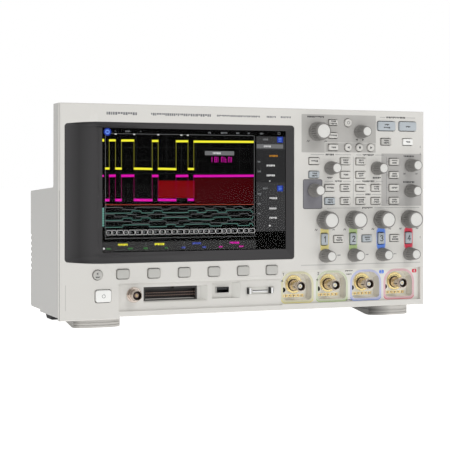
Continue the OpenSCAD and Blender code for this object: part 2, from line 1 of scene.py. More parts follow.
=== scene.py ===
import json
import math
import random
import bpy
import bmesh
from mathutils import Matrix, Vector


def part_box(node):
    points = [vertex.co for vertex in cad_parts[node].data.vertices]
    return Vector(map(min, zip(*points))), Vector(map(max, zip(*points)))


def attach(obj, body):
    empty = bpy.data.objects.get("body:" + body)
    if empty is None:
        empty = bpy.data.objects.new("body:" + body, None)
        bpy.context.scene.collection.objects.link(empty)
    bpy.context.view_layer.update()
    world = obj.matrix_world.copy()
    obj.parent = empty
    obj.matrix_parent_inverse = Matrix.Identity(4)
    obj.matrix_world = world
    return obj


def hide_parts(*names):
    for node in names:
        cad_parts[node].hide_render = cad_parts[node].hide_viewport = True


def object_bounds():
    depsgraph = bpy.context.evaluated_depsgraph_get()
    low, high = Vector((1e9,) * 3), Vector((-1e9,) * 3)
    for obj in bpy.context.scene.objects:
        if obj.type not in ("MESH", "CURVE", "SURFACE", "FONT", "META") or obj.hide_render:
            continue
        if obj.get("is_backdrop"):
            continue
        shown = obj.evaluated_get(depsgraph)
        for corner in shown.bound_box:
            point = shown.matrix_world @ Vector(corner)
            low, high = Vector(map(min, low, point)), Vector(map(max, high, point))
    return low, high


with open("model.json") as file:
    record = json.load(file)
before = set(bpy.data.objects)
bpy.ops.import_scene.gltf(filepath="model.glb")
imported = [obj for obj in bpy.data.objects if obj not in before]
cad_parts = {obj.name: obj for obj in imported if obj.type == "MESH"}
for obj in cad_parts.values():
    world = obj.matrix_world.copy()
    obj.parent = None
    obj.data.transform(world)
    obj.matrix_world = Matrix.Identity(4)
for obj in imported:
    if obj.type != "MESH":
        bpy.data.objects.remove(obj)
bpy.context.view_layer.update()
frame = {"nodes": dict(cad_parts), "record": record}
root = "instrument"
mm = 0.001

print("camera and light")
camera = {
    "place": (-0.4786, -1.1509, 0.1302),   # metres, left of the middle and level with the screen
    "turn": 22.3155,                       # degrees to the right of straight ahead
    "lens": 99.18,
    "rise": -0.0867,                       # frame shift that keeps the uprights upright
}
light = {
    "sky": 0.36,
    "key": (0.5, -1.6, 1.3, 0.9, 9),       # x, y, z, size, watts
    "fill": (-1.7, -0.9, 0.8, 1.2, 1.5),
    "top": (0.2, -0.3, 1.5, 1.0, 3.5),
    "rear": (-0.2, 1.6, 1.1, 1.4, 10),
}


def addCamera():
    data = bpy.data.cameras.new("camera")
    data.lens, data.sensor_width, data.shift_y = camera["lens"], 36, camera["rise"]
    data.clip_start, data.clip_end = 0.05, 50
    made = bpy.data.objects.new("camera", data)
    bpy.context.scene.collection.objects.link(made)
    made.location = camera["place"]
    made.rotation_euler = (math.radians(90), 0, -math.radians(camera["turn"]))
    bpy.context.scene.camera = made


def addLamp(name, x, y, z, size, watts):
    data = bpy.data.lights.new(name, "AREA")
    data.shape, data.size, data.energy = "DISK", size, watts
    made = bpy.data.objects.new(name, data)
    bpy.context.scene.collection.objects.link(made)
    made.location = (x, y, z)
    made.rotation_euler = (Vector((0, 0, 0.1)) - made.location).to_track_quat("-Z", "Y").to_euler()


def addSky():
    world = bpy.data.worlds.new("studio")
    bpy.context.scene.world = world
    world.use_nodes = True
    nodes, links = world.node_tree.nodes, world.node_tree.links
    back = nodes["Background"]
    path = nodes.new("ShaderNodeLightPath")
    strength = nodes.new("ShaderNodeMapRange")
    links.new(path.outputs["Is Camera Ray"], strength.inputs["Value"])
    strength.inputs["To Min"].default_value = light["sky"]
    strength.inputs["To Max"].default_value = 1.0
    links.new(strength.outputs["Result"], back.inputs["Strength"])
    back.inputs["Color"].default_value = (1, 1, 1, 1)


addCamera()
addSky()
for lampName in ("key", "fill", "top", "rear"):
    addLamp(lampName, *light[lampName])
bpy.context.scene.view_settings.view_transform = "Standard"


def operator(operation, swapped=False):
    # an operator of the class below, as one Math node
    def apply(self, other):
        values = (other, self) if swapped else (self, other)
        return self.calc(operation, *values)
    return apply


class Wire:
    # a shader socket that Python expressions can use
    def __init__(self, tree, socket=None):
        self.tree, self.socket = tree, socket

    def node(self, kind, settings=None, inputs=None, out=0):
        made = self.tree.nodes.new("ShaderNode" + kind)
        for key, value in (settings or {}).items():
            setattr(made, key, value)
        for key, value in (inputs or {}).items():
            if isinstance(value, Wire):
                self.tree.links.new(value.socket, made.inputs[key])
            else:
                made.inputs[key].default_value = value
        return Wire(self.tree, made.outputs[out])

    def calc(self, operation, *values):
        return self.node("Math", {"operation": operation}, dict(enumerate(values)))

    __add__, __radd__ = operator("ADD"), operator("ADD", True)
    __sub__, __rsub__ = operator("SUBTRACT"), operator("SUBTRACT", True)
    __mul__, __rmul__ = operator("MULTIPLY"), operator("MULTIPLY", True)
    __truediv__, __rtruediv__ = operator("DIVIDE"), operator("DIVIDE", True)
    __lt__, __gt__ = operator("LESS_THAN"), operator("GREATER_THAN")
    least, most = operator("MINIMUM"), operator("MAXIMUM")

    def __abs__(self):
        return self.calc("ABSOLUTE", self)

    def scaled(self, amount):   # a colour made lighter or darker
        return self.node("VectorMath", {"operation": "SCALE"}, {0: self, "Scale": amount})

    def over(self, under, mask):   # this colour where mask is 1, the other where it is 0
        return self.node("Mix", {"data_type": "RGBA"}, {0: mask, 6: under, 7: self}, 2)

    def paint(self, colour):   # one even colour
        return self.node("Mix", {"data_type": "RGBA"}, {0: 0.0, 6: colour, 7: colour}, 2)

    def axes(self):   # x, y and z of a place, in millimetres
        return [self.node("SeparateXYZ", {}, {0: self}, k) * 1000.0 for k in range(3)]


def tint(red, green, blue):   # screen colour, 0 to 255, to the renderer's own scale
    def one(value):
        value /= 255
        return value / 12.92 if value <= 0.04045 else ((value + 0.055) / 1.055) ** 2.4
    return (one(red), one(green), one(blue), 1)


def material(name, fixed, build=None):
    # fixed holds plain values, and build(wire) returns what varies over the surface
    made = bpy.data.materials.new(name)
    made.use_nodes = True
    shader = made.node_tree.nodes["Principled BSDF"]
    for key, value in fixed.items():
        shader.inputs[key].default_value = value
    if build:
        for key, wire in build(Wire(made.node_tree)).items():
            made.node_tree.links.new(wire.socket, shader.inputs[key])
    made.diffuse_color = fixed["Base Color"]
    return made


def moulded(name, colour, rough=0.5, grain=0.12, size=1100, mottle=0.05, extra=None, paintOver=None):
    # fine-grained moulded plastic
    def build(w):
        place = w.node("TexCoord", out=3)
        fine = w.node("TexNoise", {}, {"Vector": place, "Scale": size, "Detail": 3.0, "Roughness": 0.6})
        broad = w.node("TexNoise", {}, {"Vector": place, "Scale": 16.0, "Detail": 2.0})
        base = w.paint(colour)
        if paintOver:
            base = paintOver(w, place, base)
        shade = 1 + (broad - 0.5) * mottle + (fine - 0.5) * (mottle * 0.8)
        return {
            "Base Color": base.scaled(shade),
            "Roughness": rough + (fine - 0.5) * 0.16 + (broad - 0.5) * 0.08,
            "Normal": w.node("Bump", {}, {"Height": fine, "Strength": grain, "Distance": 0.00015}),
        }
    return material(name, {"Base Color": colour, "Roughness": rough, **(extra or {})}, build)


def metal(name, colour, rough=0.22, scratch=0.25, size=(900, 900, 60)):
    # plated or brushed metal with fine directional marks
    def build(w):
        place = w.node("TexCoord", out=3)
        stretched = w.node("Mapping", {}, {"Vector": place, "Scale": size})
        marks = w.node("TexNoise", {}, {"Vector": stretched, "Scale": 1.0, "Detail": 4.0})
        stain = w.node("TexNoise", {}, {"Vector": place, "Scale": 180.0, "Detail": 3.0})
        return {
            "Base Color": w.paint(colour).scaled(0.88 + stain * 0.2),
            "Roughness": rough + (marks - 0.5) * scratch + (stain - 0.5) * 0.12,
            "Normal": w.node("Bump", {}, {"Height": marks, "Strength": 0.12, "Distance": 0.0001}),
        }
    return material(name, {"Base Color": colour, "Metallic": 1.0, "Roughness": rough}, build)


def glowing(name, colour, line=0.06, rows=4300.0):
    # lit ink with the fine rows of a display; rows is how many go to the metre
    def build(w):
        up = w.node("SeparateXYZ", {}, {0: w.node("TexCoord", out=3)}, 2)
        row = w.calc("FRACT", up * rows)
        return {"Emission Color": w.paint(colour).scaled(1 - (row > 0.7) * line)}
    return material(name, {"Base Color": (0, 0, 0, 1), "Roughness": 0.4, "Specular IOR Level": 0.0,
                           "Emission Color": colour, "Emission Strength": 1.0}, build)


class Form:
    # one piece, drawn in millimetres
    def __init__(self):
        self.mesh, self.paints = bmesh.new(), []

    def paint(self, finish):
        if finish not in self.paints:
            self.paints.append(finish)
        return self.paints.index(finish)

    def loft(self, rings, finish, capFirst=True, capLast=True):
        index = self.paint(finish)
        rows = [[self.mesh.verts.new(Vector(p) * mm) for p in ring] for ring in rings]
        count = len(rows[0])
        for a, b in zip(rows, rows[1:]):
            for i in range(count):
                j = (i + 1) % count
                self.mesh.faces.new((a[i], a[j], b[j], b[i])).material_index = index
        if capFirst:
            self.mesh.faces.new(list(reversed(rows[0]))).material_index = index
        if capLast:
            self.mesh.faces.new(rows[-1]).material_index = index

    def slab(self, outline, y0, y1, finish, rim=0.0, steps=3):
        # outline(inset) gives x, z points; y1 is the rounded face, y0 the plain one
        way = 1 if y1 > y0 else -1
        rings = [[(x, y0, z) for x, z in outline(0)]]
        if rim:
            for i in range(steps + 1):
                a = math.pi / 2 * i / steps
                y = y1 - way * rim * (1 - math.sin(a))
                rings.append([(x, y, z) for x, z in outline(rim * (1 - math.cos(a)))])
        else:
            rings.append([(x, y1, z) for x, z in outline(0)])
        if way > 0:
            rings = [list(reversed(r)) for r in rings]
        self.loft(rings, finish)

    def box(self, x, y, z, finish, rim=0.0):
        w, h = x[1] - x[0], z[1] - z[0]
        outline = roundRect((x[0] + x[1]) / 2, (z[0] + z[1]) / 2, w, h, min(w, h) * 0.02 + rim)
        self.slab(outline, y[1], y[0], finish, rim)

    def plate(self, points, y, finish, rise=0.02):
        # a thin printed shape on the plane at y, with points in x, z
        self.loft([[(x, y + 0.02, z) for x, z in points], [(x, y - rise, z) for x, z in points]], finish)

    def ring(self, x, z, outer, inner, y, finish, count):
        # a thin printed ring on the plane at y
        profile = [(0.01, outer), (-0.03, outer), (-0.03, inner), (0.01, inner)]
        self.lathe((x, y, z), profile, finish, count)

    def lathe(self, centre, profile, finish, count=48, wave=None, upright=False, capFirst=False, capLast=False):
        # profile is (distance along the axis, radius) pairs; wave(turn, along) scales the radius
        rings = []
        for along, radius in profile:
            ring = []
            for i in range(count):
                a = 2 * math.pi * i / count
                r = radius * (wave(a, along) if wave else 1)
                side, up = r * math.cos(a), r * math.sin(a)
                spot = (side, up, along) if upright else (side, along, up)
                ring.append(tuple(c + s for c, s in zip(centre, spot)))
            rings.append(ring)
        self.loft(rings, finish, capFirst, capLast)

    def done(self, name, body=root, nodes=(), finishSlot=None, smooth=35):
        bmesh.ops.recalc_face_normals(self.mesh, faces=self.mesh.faces)
        data = bpy.data.meshes.new(name)
        self.mesh.to_mesh(data)
        self.mesh.free()
        return finishPiece(name, data, self.paints, body, nodes, smooth)


def finishPiece(name, data, paints, body, nodes, smooth):
    for finish in paints:
        data.materials.append(finish)
    data.shade_smooth()
    data.set_sharp_from_angle(angle=math.radians(smooth))
    made = bpy.data.objects.new(name, data)
    bpy.context.scene.collection.objects.link(made)
    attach(made, body)
    if nodes:
        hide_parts(*nodes)
    return made


def roundRect(cx, cz, w, h, r, top=None, corner=5):
    # outline maker for a rounded rectangle, with its own radius for the top corners
    top = r if top is None else top

    def outline(inset=0):
        points = []
        for sx, sz, turn, radius in ((1, -1, -90, r), (1, 1, 0, top), (-1, 1, 90, top), (-1, -1, 180, r)):
            left = max(radius - inset, 0.01)
            px = cx + sx * (w / 2 - inset - left)
            pz = cz + sz * (h / 2 - inset - left)
            for i in range(corner + 1):
                a = math.radians(turn + 90 * i / corner)
                points.append((px + left * math.cos(a), pz + left * math.sin(a)))
        return points
    return outline


def span(node):   # a CAD node's box in millimetres
    low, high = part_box(node)
    return Vector(low) / mm, Vector(high) / mm


def middle(low, high):   # x and z of the centre of a box
    return (low[0] + high[0]) / 2, (low[2] + high[2]) / 2


def solidsOf(node):
    # the box of each separate solid in a CAD node, in millimetres, from left to right
    work = bmesh.new()
    work.from_mesh(frame["nodes"][node].data)
    bmesh.ops.remove_doubles(work, verts=work.verts, dist=1e-6)
    work.verts.ensure_lookup_table()
    seen, boxes = set(), []
    for start in work.verts:
        if start.index in seen:
            continue
        group, queue = [], [start]
        seen.add(start.index)
        while queue:
            vert = queue.pop()
            group.append(vert.co / mm)
            for edge in vert.link_edges:
                other = edge.other_vert(vert)
                if other.index not in seen:
                    seen.add(other.index)
                    queue.append(other)
        low = [min(p[i] for p in group) for i in range(3)]
        high = [max(p[i] for p in group) for i in range(3)]
        boxes.append((low, high))
    work.free()
    return sorted(boxes)


def cadCopy(node, name, finish, edges, reshape=None):
    # a copy of a CAD node with rounded edges; edges is a list of (test, width, steps)
    work = bmesh.new()
    work.from_mesh(frame["nodes"][node].data)
    bmesh.ops.remove_doubles(work, verts=work.verts, dist=1e-6)
    bmesh.ops.dissolve_limit(work, angle_limit=math.radians(0.6), verts=work.verts, edges=work.edges)
    if reshape:
        for vert in work.verts:
            vert.co = Vector(reshape(vert.co / mm)) * mm
    for test, width, steps in edges:
        sharp = [e for e in work.edges if len(e.link_faces) == 2 and e.calc_face_angle(0) > math.radians(30)
                 and test((e.verts[0].co + e.verts[1].co) / 2 / mm, e.calc_length() / mm, e)]
        bmesh.ops.bevel(work, geom=sharp, offset=width * mm, segments=steps, profile=0.5, affect="EDGES",
                        clamp_overlap=True, offset_type="OFFSET")
    data = bpy.data.meshes.new(name)
    work.to_mesh(data)
    work.free()
    bodies = frame["record"]["behaviour"]["bodies"]
    owner = next(body for body, held in bodies.items() if node in held)
    made = finishPiece(name, data, [finish], owner, [node], 32)
    for side in data.polygons:      # wide walls stay flat beside their rounded edges
        if len(side.vertices) > 8 and side.area > 1e-4:
            side.use_smooth = False
    return made


def soften(node, finish, width):
    # keeps a CAD node, with its small edges rounded and a finish of its own
    thing = frame["nodes"][node]
    thing.data.materials.clear()
    thing.data.materials.append(finish)
    weld = thing.modifiers.new("join", "WELD")
    weld.merge_threshold = 1e-6
    if width:
        bevel = thing.modifiers.new("edges", "BEVEL")
        bevel.width, bevel.segments, bevel.limit_method = width * mm, 2, "ANGLE"
        bevel.angle_limit = math.radians(40)
        bevel.use_clamp_overlap = True
        bevel.harden_normals = False


panelLow, panelHigh = span("front_panel")
face = panelLow.y                      # the plane of the front panel
halfWidth = panelHigh.x
columns = [middle(*span("vertical_scale_knob_%d" % (i + 1)))[0] for i in range(4)]
channelColours = [tint(240, 222, 96), tint(166, 202, 92), tint(98, 144, 240), tint(226, 58, 84)]
bandColours = [tint(221, 218, 184), tint(210, 217, 190), tint(196, 200, 230), tint(226, 186, 192)]

print("finishes")
colours = {
    "panel": tint(217, 215, 210), "case": tint(195, 194, 191), "surround": tint(64, 63, 64),
    "greyPrint": tint(180, 178, 174), "entryPrint": tint(126, 125, 131), "entryRim": tint(84, 84, 88),
    "sourcePrint": tint(180, 178, 175), "ink": tint(40, 40, 44), "knob": tint(134, 132, 129),
    "knobFace": tint(219, 218, 214), "softkey": tint(189, 188, 183), "paleKey": tint(213, 211, 206),
    "whiteKey": tint(242, 242, 239), "litKey": tint(181, 188, 193), "foot": tint(197, 194, 189),
}


def roundedGap(w, place, cx, cz, width, height, radius):
    # distance in millimetres outside a rounded rectangle on the panel
    x, y, z = place.axes()
    across = (abs(x - cx) - (width / 2 - radius)).most(0.0)
    up = (abs(z - cz) - (height / 2 - radius)).most(0.0)
    return w.calc("SQRT", across * across + up * up) - radius


# printed areas: centre x, centre z, width, height, corner radius, colour, line width (0 is filled)
printedAreas = [
    (93.5, 182.0, 82.8, 37.6, 0.8, "greyPrint", 0),
    (106.3, 168.3, 57.0, 9.6, 0.6, "panel", 0.45),
    (164.6, 136.5, 46.6, 52.8, 0.6, "sourcePrint", 0),
    (64.2, 122.2, 20.6, 28.6, 1.6, "entryPrint", 0),
    (64.2, 122.2, 20.6, 28.6, 1.6, "entryRim", 0.7),
]


# the panel's print, and painted shade at its seam, groove and ledge
def panelPrintAndShade(w, place, base):
    x, y, z = place.axes()
    for cx, cz, width, height, radius, colour, line in printedAreas:
        gap = roundedGap(w, place, cx, cz, width, height, radius)
        mask = (abs(gap) < line / 2) if line else (gap < 0.0)
        base = w.paint(colours[colour]).over(base, mask)
    for i, column in enumerate(columns):     # coloured fields round the position knobs
        width, height, radius = (9.4, 21.6, 0.6) if i < 2 else (10.4, 23.5, 4.4)
        gap = roundedGap(w, place, column - 0.4, 77.4, width, height, radius)
        edge = (gap + 1.3) / 1.3             # strong at the rim, pale inside
        base = w.paint(channelColours[i]).over(base, (1.0 - edge * 0.55).least(1.0) * (gap < 0.0))
    # painted shade in the seam behind the front corner, in the groove beside the power key and along the ledge
    # over the inputs
    seamShade = (abs(y - (face + 2.4)) < 0.45) * (x < 0.9 - halfWidth) * ((z < 126.0) * 0.5 + 0.3)
    base = w.paint(tint(60, 60, 62)).over(base, seamShade)
    besideKey = abs(z - 28.2) < 11.6
    grooveShade = ((abs(x + 185.1) < 0.3) * 0.35 - (abs(x + 184.5) < 0.25) * 0.2) * besideKey
    base = w.paint(tint(120, 120, 118)).over(base, grooveShade.most(0.0))
    ledgeShade = (abs(z - 52.4) < 0.45) * (abs(x - 119.0) < 67.5) * 0.4
    return w.paint(tint(120, 120, 118)).over(base, ledgeShade)


# painted shade in the hollow at the left of the screen, and painted light that makes the far left end a little
# lighter
def surroundShade(w, place, base):   # the hollow at the left lies in its own shade
    x = place.axes()[0]
    hollow = (1.0 - abs(x + 171.0) / 12.0).most(0.0)
    rise = ((x + 186.0) / 30.0).most(0.0).least(1.0)
    return base.scaled(1.08 - 0.08 * rise - hollow * 0.42)


# painted light and shade: the pockets are painted paler deep inside, as if lit by the gold parts, and darker on
# each pocket's right wall
def pocketLightAndShade(w, place, base):   # paler deep inside the pockets, where the gold parts light the walls
    x, y, z = place.axes()
    deep = ((y - (face + 5.5)) / 5.0).most(0.0).least(1.0)
    across = abs(w.calc("FLOORED_MODULO", x - 30.55, 38.1) - 33.8)   # from the nearest pocket's right wall
    wall = (across < 1.3) * (y > face + 5.0)
    shaded = w.paint(tint(240, 237, 226)).over(base, deep * 0.6)
    return shaded.scaled(1.0 - wall * 0.2)


def usbPaint(w, place, base):   # dark inside the front socket
    x, y, z = place.axes()
    inside = (abs(x + 30.1) < 6.3) * (abs(z - 30.9) < 2.7) * (y < 0.0)
    return w.paint(tint(24, 24, 26)).over(base, inside)


# painted shade: the feet are darkened towards their hidden sides, and along a line on their ribs
def footShade(w, place, base):   # the hidden sides of the feet lie in the shade of the case
    x, y, z = place.axes()
    right = ((x - 127.0) / 26.0).most(0.22).least(1.0)
    left = ((x + 184.0) / 14.0).most(0.45).least(1.0)
    rib = (abs(z - 5.9) < 0.5) * 0.16
    return base.scaled((x > 0.0) * (right - 1.0) + (x < 0.0) * (left - 1.0) + 1.0 - rib)


def logicPaint(w, place, base):   # the end wall of the recess is the colour of the panel
    x = place.axes()[0]
    return w.paint(colours["panel"]).over(base, x > -56.75)


# each line: name, colour, roughness, grain strength, grain size, mottle, more plain values, overpaint
finishes = {
    "panel": moulded("panel_plastic", colours["panel"], 0.5, 0.10, 1300, 0.035, None, panelPrintAndShade),
    "bay": moulded("bay_plastic", tint(214, 213, 207), 0.5, 0.10, 1300, 0.04),
    # the pockets' faint warm glow is painted light, standing for light thrown by the gold parts
    "pocket": moulded("pocket_plastic", tint(222, 221, 216), 0.5, 0.10, 1300, 0.04,
                      {"Emission Color": tint(236, 228, 206), "Emission Strength": 0.06}, pocketLightAndShade),
    "case": moulded("case_plastic", colours["case"], 0.56, 0.2, 900, 0.04),
    "surround": moulded("surround_plastic", colours["surround"], 0.42, 0.12, 1500, 0.06,
                        {"Specular IOR Level": 0.18}, surroundShade),
    "logic": moulded("logic_shell", tint(46, 43, 41), 0.5, 0.1, 1200, 0.1, None, logicPaint),
    "pin": moulded("pin_metal", tint(150, 128, 118), 0.4, 0.05, 900, 0.2),
    "pad": moulded("pad_copper", tint(240, 196, 128), 0.35, 0.05, 900, 0.2),
    "usb": moulded("usb_shell", tint(196, 195, 192), 0.35, 0.05, 900, 0.1, None, usbPaint),
    # a dark brown that stands for painted shade deep in the jacks and round their barrels
    "bore": moulded("bore_painted_shade", tint(58, 47, 41), 0.4, 0.05, 900, 0.2),
    "paleGold": metal("pale_gold_plate", tint(226, 206, 180), 0.24, 0.2),
    "knob": moulded("knob_grip", colours["knob"], 0.62, 0.22, 1600, 0.10),
    "knobFace": moulded("knob_face", colours["knobFace"], 0.30, 0.04, 700, 0.03),
    "softkey": moulded("softkey_plastic", colours["softkey"], 0.45, 0.08, 1400, 0.04),
    "paleKey": moulded("pale_key_plastic", colours["paleKey"], 0.42, 0.08, 1400, 0.03),
    "whiteKey": moulded("white_key_plastic", colours["whiteKey"], 0.40, 0.05, 1400, 0.02),
    "litKey": moulded("lit_key_plastic", colours["litKey"], 0.34, 0.05, 1400, 0.05),
    "foot": moulded("foot_plastic", colours["foot"], 0.58, 0.2, 900, 0.06),
    "ribbedFoot": moulded("ribbed_foot_plastic", colours["foot"], 0.58, 0.2, 900, 0.06, None, footShade),
    # dark plastic; round the key caps and beside the test terminals it is painted shade
    "dark": moulded("dark_plastic_and_painted_shade", tint(30, 30, 32), 0.5, 0.12, 1200, 0.12),
    "black": moulded("black_gap", tint(12, 12, 13), 0.8, 0.05, 900, 0.1),
    "rubber": moulded("foot_rubber", tint(34, 34, 35), 0.8, 0.35, 700, 0.15),
    "ink": moulded("panel_ink", colours["ink"], 0.6, 0.02, 900, 0.08),
    "softInk": moulded("pale_ink", tint(112, 113, 116), 0.6, 0.02, 900, 0.08),
    # white print, also used as painted highlight on the test terminals
    "whiteInkAndHighlight": moulded("white_ink_and_painted_highlight", tint(236, 236, 236), 0.6, 0.02, 900, 0.04),
    "insulator": moulded("insulator", tint(240, 238, 230), 0.35, 0.03, 900, 0.03),
    "board": moulded("board_mask", tint(24, 92, 58), 0.35, 0.08, 500, 0.2),
    "chip": moulded("chip_case", tint(40, 41, 44), 0.6, 0.1, 900, 0.15),
    "grip": moulded("handle_grip", tint(150, 149, 146), 0.6, 0.2, 900, 0.06),
    "gold": metal("gold_plate", tint(250, 230, 168), 0.28, 0.2),
    # darker metal that stands for painted shade inside the jack barrels
    "shadedBoreMetal": metal("bore_metal_painted_shade", tint(112, 96, 82), 0.4, 0.3),
    "nickel": metal("nickel_plate", tint(208, 196, 186), 0.2, 0.2),
    "steel": metal("plated_steel", tint(190, 190, 188), 0.34, 0.3),
    "screw": metal("screw_steel", tint(120, 120, 120), 0.35, 0.3),
}
for i, colour in enumerate(bandColours):
    finishes["band%d" % i] = moulded("band_%d" % (i + 1), colour, 0.5, 0.04, 1100, 0.03)
for i, colour in enumerate(channelColours):
    finishes["channel%d" % i] = moulded("channel_ink_%d" % (i + 1), colour, 0.5, 0.02, 900, 0.05)

print("housing")


def onFrontRim(p, length, e):
    atEdge = abs(abs(p.x) - halfWidth) < 0.3 or p.z > panelHigh.z - 0.3 or p.z < 9.7
    return p.y < face + 4.6 and atEdge and all(v.co.y / mm < face + 4.5 for v in e.verts)


def onFace(p, length, e):
    return p.y < face + 0.1 and abs(p.x) < halfWidth - 4 and 14 < p.z < panelHigh.z - 4


cadCopy("front_panel", "front_panel_moulding", finishes["panel"],
        [(onFrontRim, 0.9, 3), (onFace, 0.3, 2)])

caseLow, caseHigh = span("rear_case")


def longOuter(p, length, e):
    atEnd = abs(abs(p.x) - halfWidth) < 0.3 or p.y > caseHigh.y - 0.3
    outside = atEnd or p.z > caseHigh.z - 0.3 or p.z < caseLow.z + 5
    return outside and length > 20 and p.y > caseLow.y + 1 and e.is_convex


cadCopy("rear_case", "rear_case_moulding", finishes["case"], [(longOuter, 1.6, 4)])

print("display")
display = {
    "left": -149.7, "right": 36.8, "low": 68.7, "high": 183.9,      # the opening over the glass
    "outer": (-185.8, 44.1, 58.9, 189.1),      # left, right, low and high edge of the surround
    "middle": 124,       # height about which its left end narrows
    "pinch": 1.9 / 65.2,       # share by which the left end is lower than the rest
    "lip": 0.5,          # how far the surround's outer edge lies behind the panel
    "dish": 3.0,         # depth of the hollow at the left of the screen
    "borderDrop": 3.0,   # how far the border slopes in towards the glass
}


def sweptFace(x):
    # how far the panel's face is swept back at x, with the sweep of the left end
    start, end, back = -150.0, -halfWidth, 1.5
    if x >= start:
        return 0.0
    run = start - end
    radius = (run * run + back * back) / (2 * back)
    return radius - math.sqrt(radius * radius - (start - x) ** 2)


def denseRect(x0, x1, z0, z1, r, corner=6, side=14):
    # points round a rounded rectangle, evenly shared so that two such outlines can be joined
    arcs = []
    for px, pz, turn in ((x1, z0, -90), (x1, z1, 0), (x0, z1, 90), (x0, z0, 180)):
        cx, cz = px + (-r if px == x1 else r), pz + (r if pz == z0 else -r)
        turns = [math.radians(turn + 90 * i / corner) for i in range(corner + 1)]
        arcs.append([(cx + r * math.cos(a), cz + r * math.sin(a)) for a in turns])
    points = []
    for k, arc in enumerate(arcs):
        points += arc
        (ax, az), (bx, bz) = arc[-1], arcs[(k + 1) % 4][0]
        for i in range(1, side):
            t = i / side
            points.append((ax * (1 - t) + bx * t, az * (1 - t) + bz * t))
    return points


def pinched(x, z):
    # the surround's outline narrows a little over its left end
    reach = min(1, max(0, (-147.8 - x) / 38))
    return x, display["middle"] + (z - display["middle"]) * (1 - display["pinch"] * reach ** 2)


def buildSurround(steps=14):
    form = Form()
    outer = [pinched(x, z) for x, z in denseRect(*display["outer"], 3.0)]
    inner = denseRect(display["left"], display["right"], display["low"], display["high"], 0.6)
    lip, end = face + display["lip"], face + display["lip"] + display["borderDrop"]
    rings = [[(x, lip + sweptFace(x) + 3.0, z) for x, z in outer]]
    for k in range(steps + 1):
        t = k / steps
        ring = []
        for (ox, oz), (ix, iz) in zip(outer, inner):
            width = max(abs(ix - ox), abs(iz - oz))
            hollow = min(max((width - 12) / 20, 0), 1)      # only the wide left border is dished
            start = lip + sweptFace(ox)
            y = start + (end - start) * t + hollow * display["dish"] * math.sin(math.pi * t)
            ring.append((ox + (ix - ox) * t, y, oz + (iz - oz) * t))
        rings.append(ring)
    rings.append([(x, face + 4.0, z) for x, z in inner])
    form.loft(rings, finishes["surround"], False, False)
    form.done("display_surround_moulding", root, ["display_surround"], "surround", 50)


buildSurround()


def glassSheen(w):
    smears = w.node("TexNoise", {}, {"Vector": w.node("TexCoord", out=3), "Scale": 60.0})
    return {"Roughness": 0.03 + 0.03 * smears}


clearGlass = material("touch_glass_clear", {"Base Color": (1, 1, 1, 1), "Roughness": 0.03, "IOR": 1.12,
                                            "Transmission Weight": 1.0}, glassSheen)
glass = frame["nodes"]["touch_glass"]
glass.data.materials.clear()
glass.data.materials.append(clearGlass)
soften("lcd_module", finishes["black"], 0)

inks = {
    "yellow": glowing("trace_yellow", tint(250, 245, 60)),
    "dimYellow": glowing("trace_dim_yellow", tint(150, 150, 46)),
    "magenta": glowing("trace_magenta", tint(216, 22, 172)),
    "dimMagenta": glowing("trace_dim_magenta", tint(136, 14, 84)),
    "red": glowing("fill_red", tint(118, 4, 8)),
    "darkRed": glowing("fill_dark_red", tint(60, 3, 6)),
    "orange": glowing("line_orange", tint(190, 70, 50)),
    "teal": glowing("bus_teal", tint(112, 170, 158)),
    "white": glowing("mark_white", tint(225, 225, 225)),
    "grey": glowing("mark_grey", tint(120, 122, 124)),
    "grid": glowing("grid_grey", tint(44, 46, 46)),
    "bar": glowing("bar_grey", tint(52, 52, 52)),
    "side": glowing("side_grey", tint(58, 58, 59)),
    "sideDark": glowing("side_dark", tint(44, 44, 45)),
    "label": glowing("label_grey", tint(112, 113, 114)),
    "blue": glowing("icon_blue", tint(38, 60, 160)),
    "paleBlue": glowing("icon_pale_blue", tint(110, 150, 235)),
    "amber": glowing("mark_amber", tint(190, 130, 40)),
    "blueInk": glowing("mark_blue", tint(66, 84, 190)),
    "black": glowing("screen_black", tint(3, 3, 3)),
    "green": glowing("mark_green", tint(60, 130, 60)),
}
screenY = span("lcd_module")[0].y - 0.02
layerStep = 0.012


def strip(a, b, width, cap):
    # the four corners of a straight stroke from a to b, its ends longer by cap
    along = (Vector(b) - Vector(a)).normalized()
    side, end = Vector((-along.y, along.x)) * (width / 2), along * cap
    low, high = Vector(a) - end, Vector(b) + end
    return [tuple(c) for c in (low - side, high - side, high + side, low + side)]


class Picture(Form):
    # flat marks on the screen, in layers a hair apart
    def flat(self, corners, ink, layer):
        y = screenY - layerStep * layer
        verts = [self.mesh.verts.new(Vector((x, y, z)) * mm) for x, z in corners]
        self.mesh.faces.new(verts).material_index = self.paint(inks[ink])

    def block(self, x0, x1, z0, z1, ink, layer=1):
        self.flat([(x0, z0), (x1, z0), (x1, z1), (x0, z1)], ink, layer)

    def disc(self, cx, cz, r, ink, layer=1, count=24):
        turns = [2 * math.pi * i / count for i in range(count)]
        self.flat([(cx + r * math.cos(a), cz + r * math.sin(a)) for a in turns], ink, layer)

    def line(self, points, width, ink, layer=1):
        for a, b in zip(points, points[1:]):
            if a != b:
                self.flat(strip(a, b, width, min(width / 2, 0.25)), ink, layer)

    def word(self, x, z, height, count, ink, layer=3, seed=1):
        # a row of small bars that stands for a readout, and can't be read
        dice = random.Random(seed)
        for _ in range(count):
            w = height * dice.choice((0.3, 0.45, 0.6))
            low = height * dice.choice((0, 0, 0.25))
            self.block(x, x + w, z + low, z + height, ink, layer)
            x += w + height * 0.22


